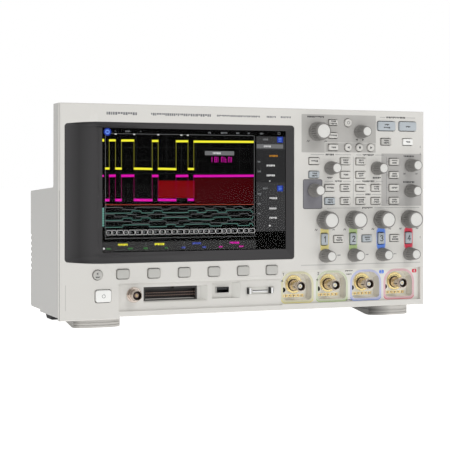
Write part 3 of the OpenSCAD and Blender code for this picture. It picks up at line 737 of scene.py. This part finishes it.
screen = {
    "edges": [-142.5, -136.5, -130.7, -118.5, -100.6, -94.7, -76.8, -64.8, -58.9],  # where the waves step
    "startX": -146.2, "endX": 3.0, "gridTop": 178.4, "gridLow": 81.5,
    "yellow": (172.4, 146.4), "magenta": (139.6, 117.2),        # high and low level of each wave
    "busRows": (110.4, 107.0, 103.6, 100.4, 97.2, 94.0),
    "busStep": 2.0,
    "decoded": (87.0, 2.1),                                     # middle and half height of the lozenges
    "triggers": (-136.3, -118.3, -94.6, -71.5, -65.0),
    "topWords": ((-137, 1), (-127, 5), (-112, 1), (-44, 3), (-31, 6), (-15, 3), (-3, 2), (10, 4)),
    "statusInks": ((-134, "yellow"), (-98, "yellow"), (-60, "blueInk"), (-22, "magenta")),
    "sideWords": ((20, 158.6, "amber"), (17, 149.2, "white"), (17, 139.6, "white"), (20, 117.4, "white"),
                  (20, 107.4, "white"), (20, 98.2, "white")),
    "sideTags": (152.8, 143.4, 121.6, 112.0, 102.6),
}


def wave(form, levels, ink, dim, thick):
    high, low = levels
    x, up = screen["startX"], False
    for edge in screen["edges"] + [screen["endX"]]:
        z = high if up else low
        drift = 0.35 if up else -0.3
        endZ = z + drift * (edge - x) / 18 if edge < -50 else z + 0.5
        form.line([(x, z), (edge, endZ)], thick, ink, 6)
        if edge != screen["endX"]:
            form.line([(edge, low), (edge, high)], 0.34, dim, 5)
        x, up = edge, not up


def busRow(form, dice, top, startsHigh, ink):
    # one digital trace that jumps between two levels
    low = top - screen["busStep"]
    x, z = screen["startX"], top if startsHigh else low
    points = [(x, z)]
    while x < screen["endX"] - 4:
        x = min(x + dice.choice((9.0, 12.0, 17.0, 26.0)), screen["endX"] - 1)
        points.append((x - 0.5, z))
        z = top if z < top else low
        points.append((x, z))
    points.append((screen["endX"], z))
    form.line(points, 0.3, ink, 4)


def busLines(form):
    dice = random.Random(7)
    for k, top in enumerate(screen["busRows"]):
        busRow(form, dice, top, k % 2 == 0, "teal" if k % 2 else "grey")
    form.line([(screen["startX"], 112.9), (screen["endX"], 112.4)], 0.4, "orange", 4)
    x = screen["startX"] + 1
    mid, half = screen["decoded"]
    while x < screen["endX"] - 4:          # decoded bus: a chain of lozenges
        w = dice.choice((4.4, 5.2, 6.4))
        form.line([(x, mid), (x + 0.7, mid + half), (x + w - 0.7, mid + half), (x + w, mid),
                   (x + w - 0.7, mid - half), (x + 0.7, mid - half), (x, mid)], 0.3, "white", 4)
        form.word(x + 1.2, mid - 0.7, 1.5, 2, "grey", 4, int(x * 7) & 255)
        x += w + 0.25


def graticule(form):
    left, right, low, high = screen["startX"], screen["endX"], screen["gridLow"], screen["gridTop"]
    for i in range(1, 10):
        x = left + (right - left) * i / 10
        form.block(x - 0.12, x + 0.12, low, high, "grid", 1)
    for i in range(1, 8):
        z = low + (high - low) * i / 8
        form.block(left, right, z - 0.12, z + 0.12, "grid", 1)
    form.line([(left, high + 0.3), (right, high + 0.5)], 0.35, "label", 2)
    form.line([(left, low), (left, high + 0.3)], 0.35, "label", 2)
    form.line([(right + 0.8, low), (right + 0.8, high + 0.3)], 0.4, "label", 2)
    form.line([(left, low), (right, low)], 0.35, "label", 2)
    for x in screen["triggers"]:           # trigger marks along the top line
        form.line([(x - 0.7, high - 0.1), (x + 0.7, high - 0.1)], 0.9, "white", 3)


def traces(form):
    form.block(-94.7, -58.0, 119.0, 135.2, "red", 2)         # filled windows
    form.block(-58.0, screen["endX"], 113.6, 137.8, "darkRed", 2)
    wave(form, screen["yellow"], "yellow", "dimYellow", 2.0)
    wave(form, screen["magenta"], "magenta", "dimMagenta", 2.3)
    busLines(form)
    for k in range(8):                     # channel marks down the left edge
        form.block(-150.3, -147.4, 93.0 + 2.2 * k, 94.5 + 2.2 * k, "teal", 3)
    form.block(-149.6, -147.4, 171.2, 173.6, "yellow", 3)
    form.block(-149.6, -147.6, 138.6, 140.4, "magenta", 3)


def readoutBox(form):
    form.block(-48.6, -16.4, 150.5, 166.2, "black", 7)
    form.block(-47.6, -17.4, 159.6, 163.6, "label", 8)
    form.word(-39.5, 160.7, 1.7, 7, "white", 9, 3)
    for k, x in enumerate((-40.6, -37.8, -34.4, -30.8, -27.2, -23.6, -20.4)):   # parts of seven-bar digits
        form.block(x, x + 0.5, 153.0, 158.0, "magenta", 9)
        if k % 2:
            form.block(x + 1.7, x + 2.2, 153.0, 158.0, "magenta", 9)
            form.block(x, x + 2.2, 157.5, 158.0, "magenta", 9)
        if k % 3 == 1:
            form.block(x, x + 2.2, 153.0, 153.5, "magenta", 9)
            form.block(x, x + 2.2, 155.2, 155.7, "magenta", 9)


def topBar(form):
    form.disc(-144.2, 180.2, 3.6, "blue", 8)
    form.disc(-144.2, 180.2, 2.2, "paleBlue", 9)
    form.block(-145.2, -143.2, 179.4, 181.0, "blue", 10)
    for k, (x, count) in enumerate(screen["topWords"]):
        form.word(x, 180.2, 1.6, count, "grey", 3, k + 1)
    form.line([(29, 180.6), (31.4, 180.6), (31.4, 182.4), (29, 182.4), (29, 180.6)], 0.3, "grey", 3)


def statusBar(form):
    form.block(-149.6, 5.7, 69.6, 78.2, "bar", 2)
    for x in (-106.8, -68.6, -31.9):
        form.block(x - 0.15, x + 0.15, 70.2, 77.6, "label", 3)
    for k, (x, ink) in enumerate(screen["statusInks"]):
        under = "green" if ink == "yellow" else ink
        form.word(x, 74.6, 2.0, 7, ink, 4, k + 11)
        form.word(x - 11, 71.2, 1.5, 4, under, 4, k + 20)
        form.word(x + 10, 71.2, 1.5, 4, under, 4, k + 30)
    form.disc(-147.6, 72.3, 0.9, "white", 4)


def sideBar(form):
    form.block(6.0, 36.8, 86.0, 178.4, "side", 2)
    form.block(6.0, 36.8, 133.6, 165.6, "sideDark", 3)
    form.block(6.4, 34.6, 166.8, 170.8, "label", 4)
    form.word(14, 167.9, 1.7, 8, "white", 5, 31)
    for z in (172.6, 125.0):               # menu marks
        form.block(28.2, 34.4, z, z + 5.6, "blue", 4)
        for k in range(3):
            form.block(29.6, 33.0, z + 1.2 + 1.4 * k, z + 1.7 + 1.4 * k, "paleBlue", 5)
    form.word(13, 174.6, 1.7, 5, "grey", 4, 32)
    form.word(13, 127.0, 1.7, 4, "grey", 4, 33)
    for k, (x, z, ink) in enumerate(screen["sideWords"]):
        form.word(x, z, 1.8, 7, ink, 4, k + 41)
    for k, z in enumerate(screen["sideTags"]):
        form.word(7.4, z, 1.7, 3, "grey", 4, k + 51)
    form.disc(20.3, 91.6, 0.9, "white", 4)
    form.disc(20.3, 135.0, 0.6, "white", 4)
    form.block(5.9, 36.8, 69.0, 84.4, "black", 2)


def buildPicture():
    form = Picture()
    form.block(display["left"] - 1.5, display["right"] + 4, display["low"] - 1, display["high"] + 1, "black", 0)
    for part in (graticule, traces, readoutBox, topBar, statusBar, sideBar):
        part(form)
    form.done("screen_picture", root, (), "lcd", 30)


buildPicture()

print("keys")
keys = {
    "shrink": 0.4,      # the cap is this much smaller than the design on each side
    "collar": 1.0,      # width and depth of the dark collar round a cap's foot
    "rim": 0.55,
    "litSpots": [(65.5, 141.4), (82.8, 115.3), (124.4, 77.7)],
}


def near(x, z, spots, reach=1.5):
    return any(abs(x - sx) < reach and abs(z - sz) < reach for sx, sz in spots)


def keyCap(form, low, high, cap, radius):
    cx, cz = middle(low, high)
    w, h = (high[i] - low[i] - 2 * keys["collar"] - 2 * keys["shrink"] for i in (0, 2))
    if abs(w - h) < 0.4 and w < 9.8:       # small square caps are round
        radius = w / 2 - 0.01
    outline = roundRect(cx, cz, w, h, radius, corner=10 if radius > 3 else 5)
    foot = high[1] - keys["collar"]
    form.slab(outline, foot, low[1], cap, keys["rim"])
    # painted shade: a dark collar round each cap's foot stands for the shadow in the gap round the key
    form.slab(roundRect(cx, cz, w + 1.8, h + 1.8, 1.0), high[1], foot, finishes["dark"])
    return w, h


def smallWord(form, x, z, height, count, ink, y, seed):
    # short bars in the place of a printed legend, centred on x
    dice = random.Random(seed)
    widths = [height * dice.choice((0.45, 0.6, 0.75)) for _ in range(count)]
    gap = height * 0.24
    x -= (sum(widths) + gap * (count - 1)) / 2
    for w in widths:
        low = height * dice.choice((0, 0, 0.3))
        form.slab(roundRect(x + w / 2, z + low / 2, w, height - low, 0.12, corner=1), y + 0.02, y - 0.015, ink)
        x += w + gap


def arrowMark(form, x, z, way, length, half, y):
    # a triangle with its tip at x, pointing left or right; way is -1 or 1
    back = x - way * length
    form.plate([(x, z), (back, z + half), (back, z - half)], y, finishes["ink"])


def buildKeys(node, capName="paleKey", radius=1.0, legend=True):
    form = Form()
    for k, (low, high) in enumerate(solidsOf(node)):
        cx, cz = middle(low, high)
        lit = near(cx, cz, keys["litSpots"])
        w, h = keyCap(form, low, high, finishes["litKey" if lit else capName], radius)
        if legend and abs(w - h) >= 0.4:
            rows = 2 if (k + round(cx)) % 3 else 1
            for r in range(rows):
                rise = 1.15 - 2.3 * r if rows == 2 else 0
                smallWord(form, cx, cz + rise, 1.6, 4 + (k + r) % 2, finishes["ink"], low[1], k * 5 + r)
    return form


def timeMarks(form):
    # transport marks (left, stop, right) and the zoom ring on the small horizontal keys
    for low, high in solidsOf("horizontal_keys"):
        cx, cz = middle(low, high)
        if high[0] - low[0] >= 11:
            continue
        if cz >= 175:
            form.ring(cx, cz, 1.5, 1.15, low[1], finishes["ink"], 24)
        elif abs(cx - 115.9) < 2:
            form.slab(roundRect(cx, cz, 2.0, 2.0, 0.1, corner=1), low[1] + 0.02, low[1] - 0.02, finishes["ink"])
        else:
            way = -1 if cx < 115 else 1
            arrowMark(form, cx + way * 1.3, cz, way, 2.4, 1.25, low[1])


for node in ("horizontal_keys", "trigger_keys", "menu_keys"):
    form = buildKeys(node)
    if node == "horizontal_keys":
        timeMarks(form)
    form.done(node + "_caps", node, [node], "pale_key")

for i in range(6):
    node = "softkey_%d" % (i + 1)
    buildKeys(node, "softkey", 1.8, False).done(node + "_cap", node, [node], "grey_key")

simpleKeys = (("default_setup_key", "softkey", "grey_key"), ("auto_scale_key", "whiteKey", "white_key"))
for node, cap, slotName in simpleKeys:
    buildKeys(node, cap).done(node + "_cap", node, [node], slotName)

for node in ("run_stop_key", "single_key"):
    form = buildKeys(node, "litKey", 2.0, False)
    low, high = span(node)
    cx, cz = middle(low, high)
    smallWord(form, cx, cz + (1.3 if node == "run_stop_key" else -0.4), 1.6, 4, finishes["ink"], low.y, 3)
    if node == "run_stop_key":
        smallWord(form, cx, cz - 1.6, 1.6, 5, finishes["ink"], low.y, 5)
    form.done(node + "_cap", node, [node], "lit_key")

for node in ("power_key", "back_key"):
    form = buildKeys(node, "whiteKey" if node == "power_key" else "softkey", 2.0, False)
    low, high = span(node)
    cx, cz = middle(low, high)
    if node == "power_key":
        form.ring(cx, cz, 1.7, 1.3, low.y, finishes["softInk"], 28)
    else:
        arrowMark(form, cx - 1.4, cz + 1.2, -1, 1.6, 1.2, low.y)
        smallWord(form, cx, cz - 2.0, 1.3, 4, finishes["ink"], low.y, 6)
    form.done(node + "_cap", node, [node], "white_key")

# strokes of each channel's digit, in a box one wide and 1.7 high
digitStrokes = {
    1: [(0.2, 1.3), (0.55, 1.7), (0.55, 0)],
    2: [(0.05, 1.35), (0.2, 1.62), (0.5, 1.7), (0.8, 1.6), (0.95, 1.3), (0.8, 0.95), (0.05, 0), (1, 0)],
    3: [(0.05, 1.45), (0.3, 1.7), (0.7, 1.7), (0.95, 1.4), (0.8, 1.0), (0.4, 0.92), (0.8, 0.84), (1, 0.45),
        (0.75, 0.05), (0.3, 0), (0.02, 0.25)],
    4: [(0.75, 0), (0.75, 1.7), (0.0, 0.5), (1.05, 0.5)],
}


def strokeSlab(form, points, width, y, ink):
    for a, b in zip(points, points[1:]):
        form.plate(strip(a, b, width, width / 2), y, ink)


def digit(form, number, cx, cz, size, width, y, ink):
    points = [(cx + (px - 0.5) * size, cz + (pz - 0.85) * size) for px, pz in digitStrokes[number]]
    strokeSlab(form, points, width, y, ink)


for i in range(4):
    node = "channel_key_%d" % (i + 1)
    form = buildKeys(node, "litKey", 1.0, False)
    low, high = span(node)
    digit(form, i + 1, *middle(low, high), 3.1, 0.75, low.y, finishes["ink"])
    form.done(node + "_cap", node, [node], "lit_key")

print("knobs")
knobs = {
    "bigRibs": 24, "smallRibs": 18, "ribDepth": 0.11,
    "ribbed": (-13.8, -3.6),       # stretch of the side that carries ribs
    "height": 14.9,                # from the foot of the skirt to the face
    "big": [(0.0, 9.28), (-1.2, 9.28), (-3.4, 9.2), (-4.0, 9.0), (-12.6, 8.5), (-13.8, 8.0), (-14.6, 7.25)],
    "small": [(0.0, 6.78), (-1.2, 6.78), (-3.2, 6.7), (-3.8, 6.45), (-12.0, 5.5), (-13.6, 5.2), (-14.6, 4.85)],
}


def buildKnob(node):
    low, high = span(node)
    cx, cz = middle(low, high)
    kind = "big" if high.x - low.x > 16 else "small"
    ribs, profile = knobs[kind + "Ribs"], knobs[kind]
    centre = (cx, low.y + knobs["height"], cz)
    ribEnd, ribStart = knobs["ribbed"]

    def ripple(turn, along):
        if not ribEnd < along < ribStart:
            return 1.0
        return 1.0 - knobs["ribDepth"] * (0.5 + 0.5 * math.cos(ribs * turn)) ** 2

    side = []
    for (a, ra), (b, rb) in zip(profile, profile[1:]):
        parts = 1 if abs(a - b) < 2 else 5
        side += [(a + (b - a) * k / parts, ra + (rb - ra) * k / parts) for k in range(parts)]
    edge = profile[-1][1]
    side += [profile[-1], (-14.75, edge - 0.5), (-14.4, edge - 0.65)]
    form = Form()
    form.lathe(centre, side, finishes["knob"], ribs * 8, ripple, capFirst=True)
    # pale insert in the end of the knob, slightly crowned
    crown = [(-14.2, edge - 0.62), (-14.62, edge - 0.66), (-14.78, edge - 0.85), (-14.86, edge * 0.6),
             (-14.9, edge * 0.3), (-14.9, 0.05)]
    form.lathe(centre, crown, finishes["knobFace"], 64, capLast=True)
    form.lathe(centre, [(0.2, 2.95), (7.0, 2.95)], finishes["steel"], 24, capFirst=True, capLast=True)
    form.done(node + "_turned", node, [node], "knob", 30)


for node in [name for name in frame["nodes"] if name.endswith("_knob") or "_knob_" in name]:
    buildKnob(node)

print("inputs")
bayLow, bayHigh = span("input_bay")
bayFloor = bayLow.y
pocketFloor = bayHigh.y - 1.1
inputs = {
    "columns": [49.6 + 38.1 * i for i in range(4)],
    "axisZ": 32.2, "discZ": 33.1, "pocketZ": 30.9,
    "discRadius": 8.9, "rivetRadius": 8.5,
    "hole": (-10.8, 27.6),          # small hole beside each jack, from its axis and from the base
    "stripZ": (20.4, 23.2), "stripPads": 17, "padStep": 1.4,
    "draft": (0.9, 0.93),           # how far the pockets narrow to their floors, across and up
}


def pocketDraft(p):   # the pockets narrow towards their floors
    if abs(p.y - pocketFloor) > 0.05:
        return p
    cx = min(inputs["columns"], key=lambda x: abs(x - p.x))
    dx, holeZ = inputs["hole"]
    if math.hypot(p.x - cx, p.z - inputs["axisZ"]) < 6 or math.hypot(p.x - cx - dx, p.z - holeZ) < 3:
        return p
    across, up = inputs["draft"]
    return (cx + (p.x - cx) * across, p.y, inputs["pocketZ"] + (p.z - inputs["pocketZ"]) * up)


def onPocketMouth(p, length, e):
    atMouth = abs(p.y - bayFloor) < 0.05 and all(abs(v.co.y / mm - bayFloor) < 0.05 for v in e.verts)
    return atMouth and 16 < p.z < 46 and 32 < p.x < 182


cadCopy("input_bay", "input_bay_moulding", finishes["pocket"], [(onPocketMouth, 1.1, 3)], pocketDraft)


def jack(form, x, z, front, way=1, back=20, core="insulator"):
    # bayonet jack; way is 1 when it faces the front and -1 when it faces the rear
    def turn(points, ink, count):
        form.lathe((x, 0, z), [(front + way * a, r) for a, r in points], finishes[ink], count)

    # painted shade: the inside of the barrel is darker metal, and the floor between barrel and insulator is
    # dark brown
    turn([(9, 4.05), (0.5, 4.05), (0.12, 4.2)], "shadedBoreMetal", 48)
    turn([(0.12, 4.2), (0, 4.4), (0.05, 4.65), (0.3, 4.8), (2.9, 4.8), (3.0, 4.62), (3.3, 4.62), (3.4, 4.8),
          (back, 4.8)], "nickel", 48)
    turn([(5.8, 4.05), (5.8, 2.2)], "bore", 48)
    turn([(8.9, 2.3), (2.5, 2.3), (2.2, 2.05), (2.2, 0.85)], core, 32)
    turn([(2.3, 0.9), (1.9, 0.8), (1.9, 0.45), (4.5, 0.4), (4.5, 0.05)], "gold", 20)
    for side in (-1, 1):           # bayonet lugs
        lug = [(side * 4.6, 0.93), (side * 5.5, 0.93), (side * 5.68, 0.75), (side * 5.68, 0.02)]
        form.lathe((x, front + way * 4.4, z), lug, finishes["nickel"], 16, upright=True)


def buildInput(form, x):
    r = inputs["discRadius"]
    disc, axis = (x + 0.4, 0, inputs["discZ"]), (x, 0, inputs["axisZ"])

    def turn(centre, points, ink, count):      # heights are above the pocket's floor
        form.lathe(centre, [(pocketFloor - a, radius) for a, radius in points], finishes[ink], count)

    turn(disc, [(0, r), (0.7, r), (0.95, r - 0.3), (0.95, r - 1.0), (0.8, r - 1.2), (0.8, 6.9)], "gold", 64)
    turn(axis, [(0.78, 7.8), (0.84, 7.6), (0.84, 6.3), (0.3, 6.1)], "gold", 48)
    # painted shade: a dark ring in the groove round the foot of the barrel
    turn(axis, [(0.3, 6.2), (0.3, 4.8)], "bore", 48)
    turn(axis, [(0.3, 5.3), (3.3, 5.3), (3.7, 5.0), (3.7, 4.7)], "paleGold", 48)
    for k in range(3):             # rivets round the disc
        a = math.radians(100 + 62 * k)
        reach = inputs["rivetRadius"]
        spot = (x + reach * math.cos(a), 0, inputs["discZ"] + reach * math.sin(a))
        turn(spot, [(0.9, 0.8), (1.2, 0.7), (1.3, 0.02)], "gold", 14)
    jack(form, x, inputs["axisZ"], span("input_connectors")[0].y)
    low, high = inputs["stripZ"]
    form.box((x - 12, x + 12), (pocketFloor - 0.3, pocketFloor), (low, high), finishes["gold"])
    for k in range(inputs["stripPads"]):
        left = x - 11.5 + inputs["padStep"] * k
        form.box((left, left + 0.7), (pocketFloor - 0.62, pocketFloor - 0.2),
                 (low + 0.3 + 0.5 * (k % 2), high - 0.5), finishes[("pad", "insulator", "pin")[k % 3]])
    dx, holeZ = inputs["hole"]
    # painted shade: a black disc stands for the dark of the small hole beside the jack
    turn((x + dx, 0, holeZ), [(0.02, 2.5), (0.02, 0.05)], "black", 24)


def buildInputs():
    form = Form()
    for x in inputs["columns"]:
        buildInput(form, x)
    form.done("input_jacks", root, ["input_connectors"], "gold_brass", 35)


buildInputs()

plainJacks = {
    "generator": (-119.7, 29.1),           # x and z of the jack beside the power key
    "rearX": -82, "rearZ": (40, 66),
}


def buildPlainJacks():
    form = Form()
    low, high = span("bnc_connectors")
    x, z = plainJacks["generator"]
    jack(form, x, z, low.y, 1, 14, "pin")
    washer = [(face + 2, 7.2), (face + 1.2, 7.2), (face + 0.9, 6.9), (face + 0.9, 4.7)]
    nut = [(face + 1, 6.2), (face - 1.2, 6.2), (face - 1.5, 5.9), (face - 1.5, 4.7)]
    form.lathe((x, 0, z), washer, finishes["nickel"], 32)
    form.lathe((x, 0, z), nut, finishes["nickel"], 6)
    rear = high.y
    for z in plainJacks["rearZ"]:
        jack(form, plainJacks["rearX"], z, rear, -1)
        nut = [(rear - 13, 7.0), (rear - 10.9, 7.0), (rear - 10.6, 6.7), (rear - 10.6, 4.7)]
        form.lathe((plainJacks["rearX"], 0, z), nut, finishes["nickel"], 6)
    form.done("plain_jacks", root, ["bnc_connectors"], "nickel", 35)


buildPlainJacks()

lower = {
    "pins": 20, "pinPitch": 2.54, "pinX": -107, "pinZ": 27.6,      # the logic probe socket
    "terminals": (-2.9, 20.1),                                     # the two test terminals
    "usbFrame": (((-41.5, -36.8), (23.1, 37.8)), ((-23.4, -20.2), (23.1, 37.8)),
                 ((-36.8, -23.4), (23.1, 28.0)), ((-36.8, -23.4), (33.9, 37.8))),
}


def logicPins(form):
    for k in range(lower["pins"]):
        for row in range(2):
            x, z = lower["pinX"] + lower["pinPitch"] * k, lower["pinZ"] + lower["pinPitch"] * row
            form.box((x - 0.4, x + 0.4), (face + 3.4, face + 10.5), (z - 0.35, z + 0.35), finishes["pin"])


def recessWalls(form):
    # sloping end walls and floor of the logic and USB recesses
    logicWall = [(-56.75, face + 6.4), (-46.95, face + 0.25), (-46.95, face + 6.4)]
    form.loft([[(x, y, z) for x, y in logicWall] for z in (22.0, 35.8)], finishes["bay"])
    sill = [(face + 0.3, 22.0), (face + 6.2, 22.0), (face + 6.2, 24.7)]
    form.loft([[(x, y, z) for y, z in sill] for x in (-110.1, -47.0)], finishes["bay"])
    usbWall = [(-20.3, face + 4.95), (-13.35, face + 0.25), (-13.35, face + 4.95)]
    form.loft([[(x, y, z) for x, y in usbWall] for z in (23.15, 37.75)], finishes["bay"])
    for x, z in lower["usbFrame"]:
        form.box(x, (face + 4.86, face + 4.98), z, finishes["panel"])


def testTerminals(form):
    # painted light and shade: each metal loop is drawn as a white lit face between dark shaded sides
    for x in lower["terminals"]:
        form.box((x - 2.1, x - 1.55), (face - 1.9, face + 3.2), (26.3, 32.0), finishes["dark"], 0.1)
        form.box((x - 1.5, x + 0.5), (face - 2.3, face + 3.2), (26.3, 31.9), finishes["whiteInkAndHighlight"], 0.2)
        form.box((x + 0.5, x + 1.1), (face - 2.2, face + 3.0), (26.6, 31.6), finishes["dark"], 0.1)
    # painted shade in the slot between the terminals, with a painted highlight along its lower lip
    form.box((1.0, 17.0), (face + 3.0, face + 3.15), (28.8, 29.5), finishes["dark"])
    form.box((1.0, 17.0), (face + 2.8, face + 3.15), (27.5, 28.8), finishes["whiteInkAndHighlight"])
    form.box((0.2, 1.4), (face + 2.9, face + 3.15), (27.0, 29.5), finishes["dark"])


def buildSockets():
    form = Form()
    logicPins(form)
    recessWalls(form)
    testTerminals(form)
    form.done("lower_sockets", root, (), "panel", 35)


buildSockets()

print("printed marks")
marks = {
    # each heading: first and last x of its words, first and last x of its rules, height
    "headings": (
        (78, 88, 62, 106.8, 161.3), (119.5, 133, 112.5, 144, 161.3), (88, 97, 77.5, 106.8, 134.9),
        (118.5, 134, 112.5, 143, 134.9), (122.8, 129, 112.5, 141, 121.8), (118.5, 132, 80, 185.5, 108.3),
        (147, 169, 139.5, 180.5, 199.4), (58, 77, 58, 77, 198.4), (166, 180, 166, 180, 160.4),
        (166, 180, 166, 180, 134.2), (131, 141, 131, 141, 138.4), (79, 87, 79, 87, 138.4)),
    # the row of blank words at the top: first and last x, height of the bars
    "topRow": ((-147, -117, 2.6), (-104, -43, 2.4), (-37, 7, 1.7), (14, 25, 1.7), (29, 41, 1.7)),
    "topRowZ": 197.2,
    "uprights": (109.3, 147.0), "uprightZ": (112.5, 159.4),
    "branches": (154.7, 141.4, 128.4, 115.3),
    "positionArrows": (116.8, 176.4),
    "edgeTicks": (170, 163, 97, 78, 61),
    "bayWords": ((45.4, 9), (42.0, 6), (16.2, 9)),
    "rule": 0.32,
}


def bar(form, x0, x1, z0, z1, ink, y):
    outline = roundRect((x0 + x1) / 2, (z0 + z1) / 2, x1 - x0, z1 - z0, 0.05, corner=1)
    form.slab(outline, y + 0.03, y - 0.02, ink)


def heading(form, x0, x1, left, right, z, seed):
    # a group's heading: a row of short bars with a rule on each side
    smallWord(form, (x0 + x1) / 2, z, 1.7, max(3, int((x1 - x0) / 1.45)), finishes["ink"], face, seed)
    half = marks["rule"] / 2
    for a, b in ((left, x0 - 1), (x1 + 1, right)):
        if b - a > 1:
            bar(form, a, b, z - half, z + half, finishes["softInk"], face)


def panelWords(form):
    for k, (x0, x1, left, right, z) in enumerate(marks["headings"]):
        heading(form, x0, x1, left, right, z, k + 20)
    for k, (x0, x1, tall) in enumerate(marks["topRow"]):
        count = int((x1 - x0) / tall / 0.84)
        smallWord(form, (x0 + x1) / 2, marks["topRowZ"], tall, count, finishes["softInk"], face, k + 90)
    for i, x in enumerate(columns[:3]):                # between the position knobs
        smallWord(form, x + 15.6, 61.6, 1.1, 4, finishes["softInk"], face, 60 + i)
    for k, (z, count) in enumerate(marks["bayWords"]):
        smallWord(form, 106.7, z, 1.2, count, finishes["ink"], bayFloor, k + 71)


def panelRules(form):
    half = marks["rule"] / 2
    for x in marks["uprights"]:
        bar(form, x - half, x + half, *marks["uprightZ"], finishes["softInk"], face)
    for z in marks["branches"]:
        bar(form, 147.0, 149.2, z - half, z + half, finishes["softInk"], face)
    for z in marks["edgeTicks"]:
        bar(form, 186.2, 186.6, z - 1.2, z + 1.2, finishes["ink"], face)


def waveSigns(form):
    # a large and a small wave beside each scale knob
    for x, z, reach in [(69, 174.4, 9.6), (175, 142.6, 7.0)] + [(column, 87.0, 9.7) for column in columns]:
        for side, tall in ((-1, 1.5), (1, 1.0)):
            cx, low, high = x + side * reach, z - tall / 2, z + tall / 2
            points = [(cx - 1.4, low), (cx - 0.5, high), (cx + 0.4, low), (cx + 1.3, high)]
            strokeSlab(form, points, 0.42, face, finishes["ink"])
    x, z = marks["positionArrows"]
    for side in (-1, 1):
        arrowMark(form, x + side * 5.0, z, side, 2.4, 1.0, face)


def band(form, outer, inner, picked, y, depth, ink):
    # flat ring between two outlines, drawn over the picked stretches alone
    for k in picked:
        j = (k + 1) % len(outer)
        form.plate([outer[k], outer[j], inner[j], inner[k]], y, ink, depth)


def pocketBands(form, i, x):
    ink, z, count = finishes["channel%d" % i], inputs["pocketZ"], 8
    for wide, thick, depth in ((35.6, 2.2, 0.02), (36.1, 0.5, 0.04)):
        outer = roundRect(x, z, wide, wide - 5, 5, 13, count)()
        inner = roundRect(x, z, wide - 2 * thick, wide - 5 - 2 * thick, 5 - thick / 2, 13 - thick, count)()
        if thick < 1:                  # the thin line runs along the lower edge alone
            low = [point[1] < z - 12 for point in outer]
            picked = [k for k in range(len(outer)) if low[k] and low[(k + 1) % len(outer)]]
            band(form, outer, inner, picked, bayFloor, depth, ink)
        else:
            band(form, outer, inner, range(len(outer)), bayFloor, depth, finishes["band%d" % i])


def inputMarks(form):
    y = bayFloor
    for i, x in enumerate(inputs["columns"]):
        pocketBands(form, i, x)
        if i > 1:                      # a white digit on a coloured tab
            form.slab(roundRect(x + 18.0, 43.6, 5.4, 3.6, 1.2), y + 0.02, y - 0.05, finishes["channel%d" % i])
            digit(form, i + 1, x + 18.0, 43.6, 1.5, 0.4, y - 0.05, finishes["whiteInkAndHighlight"])
        else:
            digit(form, i + 1, x - 15.1, 43.5, 1.5, 0.4, y - 0.05, finishes["ink"])
            bar(form, x - 17.2, x - 15.8, 36.6, 38.2, finishes["softInk" if i else "channel2"], y)


def buildMarks():
    form = Form()
    for part in (panelWords, panelRules, waveSigns, inputMarks):
        part(form)
    form.done("panel_marks", root, (), "panel", 30)


buildMarks()

print("kept parts")
kept = {      # finish and edge width of each part that keeps its own shape
    "chassis": ("steel", 0), "main_board": ("board", 0), "keypad_board": ("board", 0), "encoders": ("chip", 0),
    "power_supply": ("board", 0), "fan_housing": ("dark", 0), "fan_rotor": ("dark", 0.2),
    "tilt_leg_left": ("foot", 0.3), "tilt_leg_right": ("foot", 0.3), "option_cover": ("case", 0.4),
    "case_screws": ("screw", 0.2), "mains_inlet": ("dark", 0.3), "handle": ("grip", 1.2),
    "front_feet": ("ribbedFoot", 0.35), "rear_feet": ("rubber", 0.4), "logic_connector": ("logic", 0.1),
    "usb_ports": ("usb", 0), "demo_terminals": ("bay", 0.15),
}
for node, (finishName, width) in kept.items():
    soften(node, finishes[finishName], width)

print("floor")
floorReach = 60.0
floorMesh = bpy.data.meshes.new("floor")
corners = [(x * floorReach, y * floorReach, 0) for x, y in ((-1, -1), (1, -1), (1, 1), (-1, 1))]
floorMesh.from_pydata(corners, [], [(0, 1, 2, 3)])
floorMesh.materials.append(moulded("floor_paper", (0.55, 0.55, 0.55, 1), 0.9, 0.02, 300, 0.01,
                                   {"Emission Color": (1, 1, 1, 1), "Emission Strength": 0.86}))
floor = bpy.data.objects.new("floor", floorMesh)
bpy.context.scene.collection.objects.link(floor)
floor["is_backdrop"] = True

low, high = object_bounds()
print("finish")
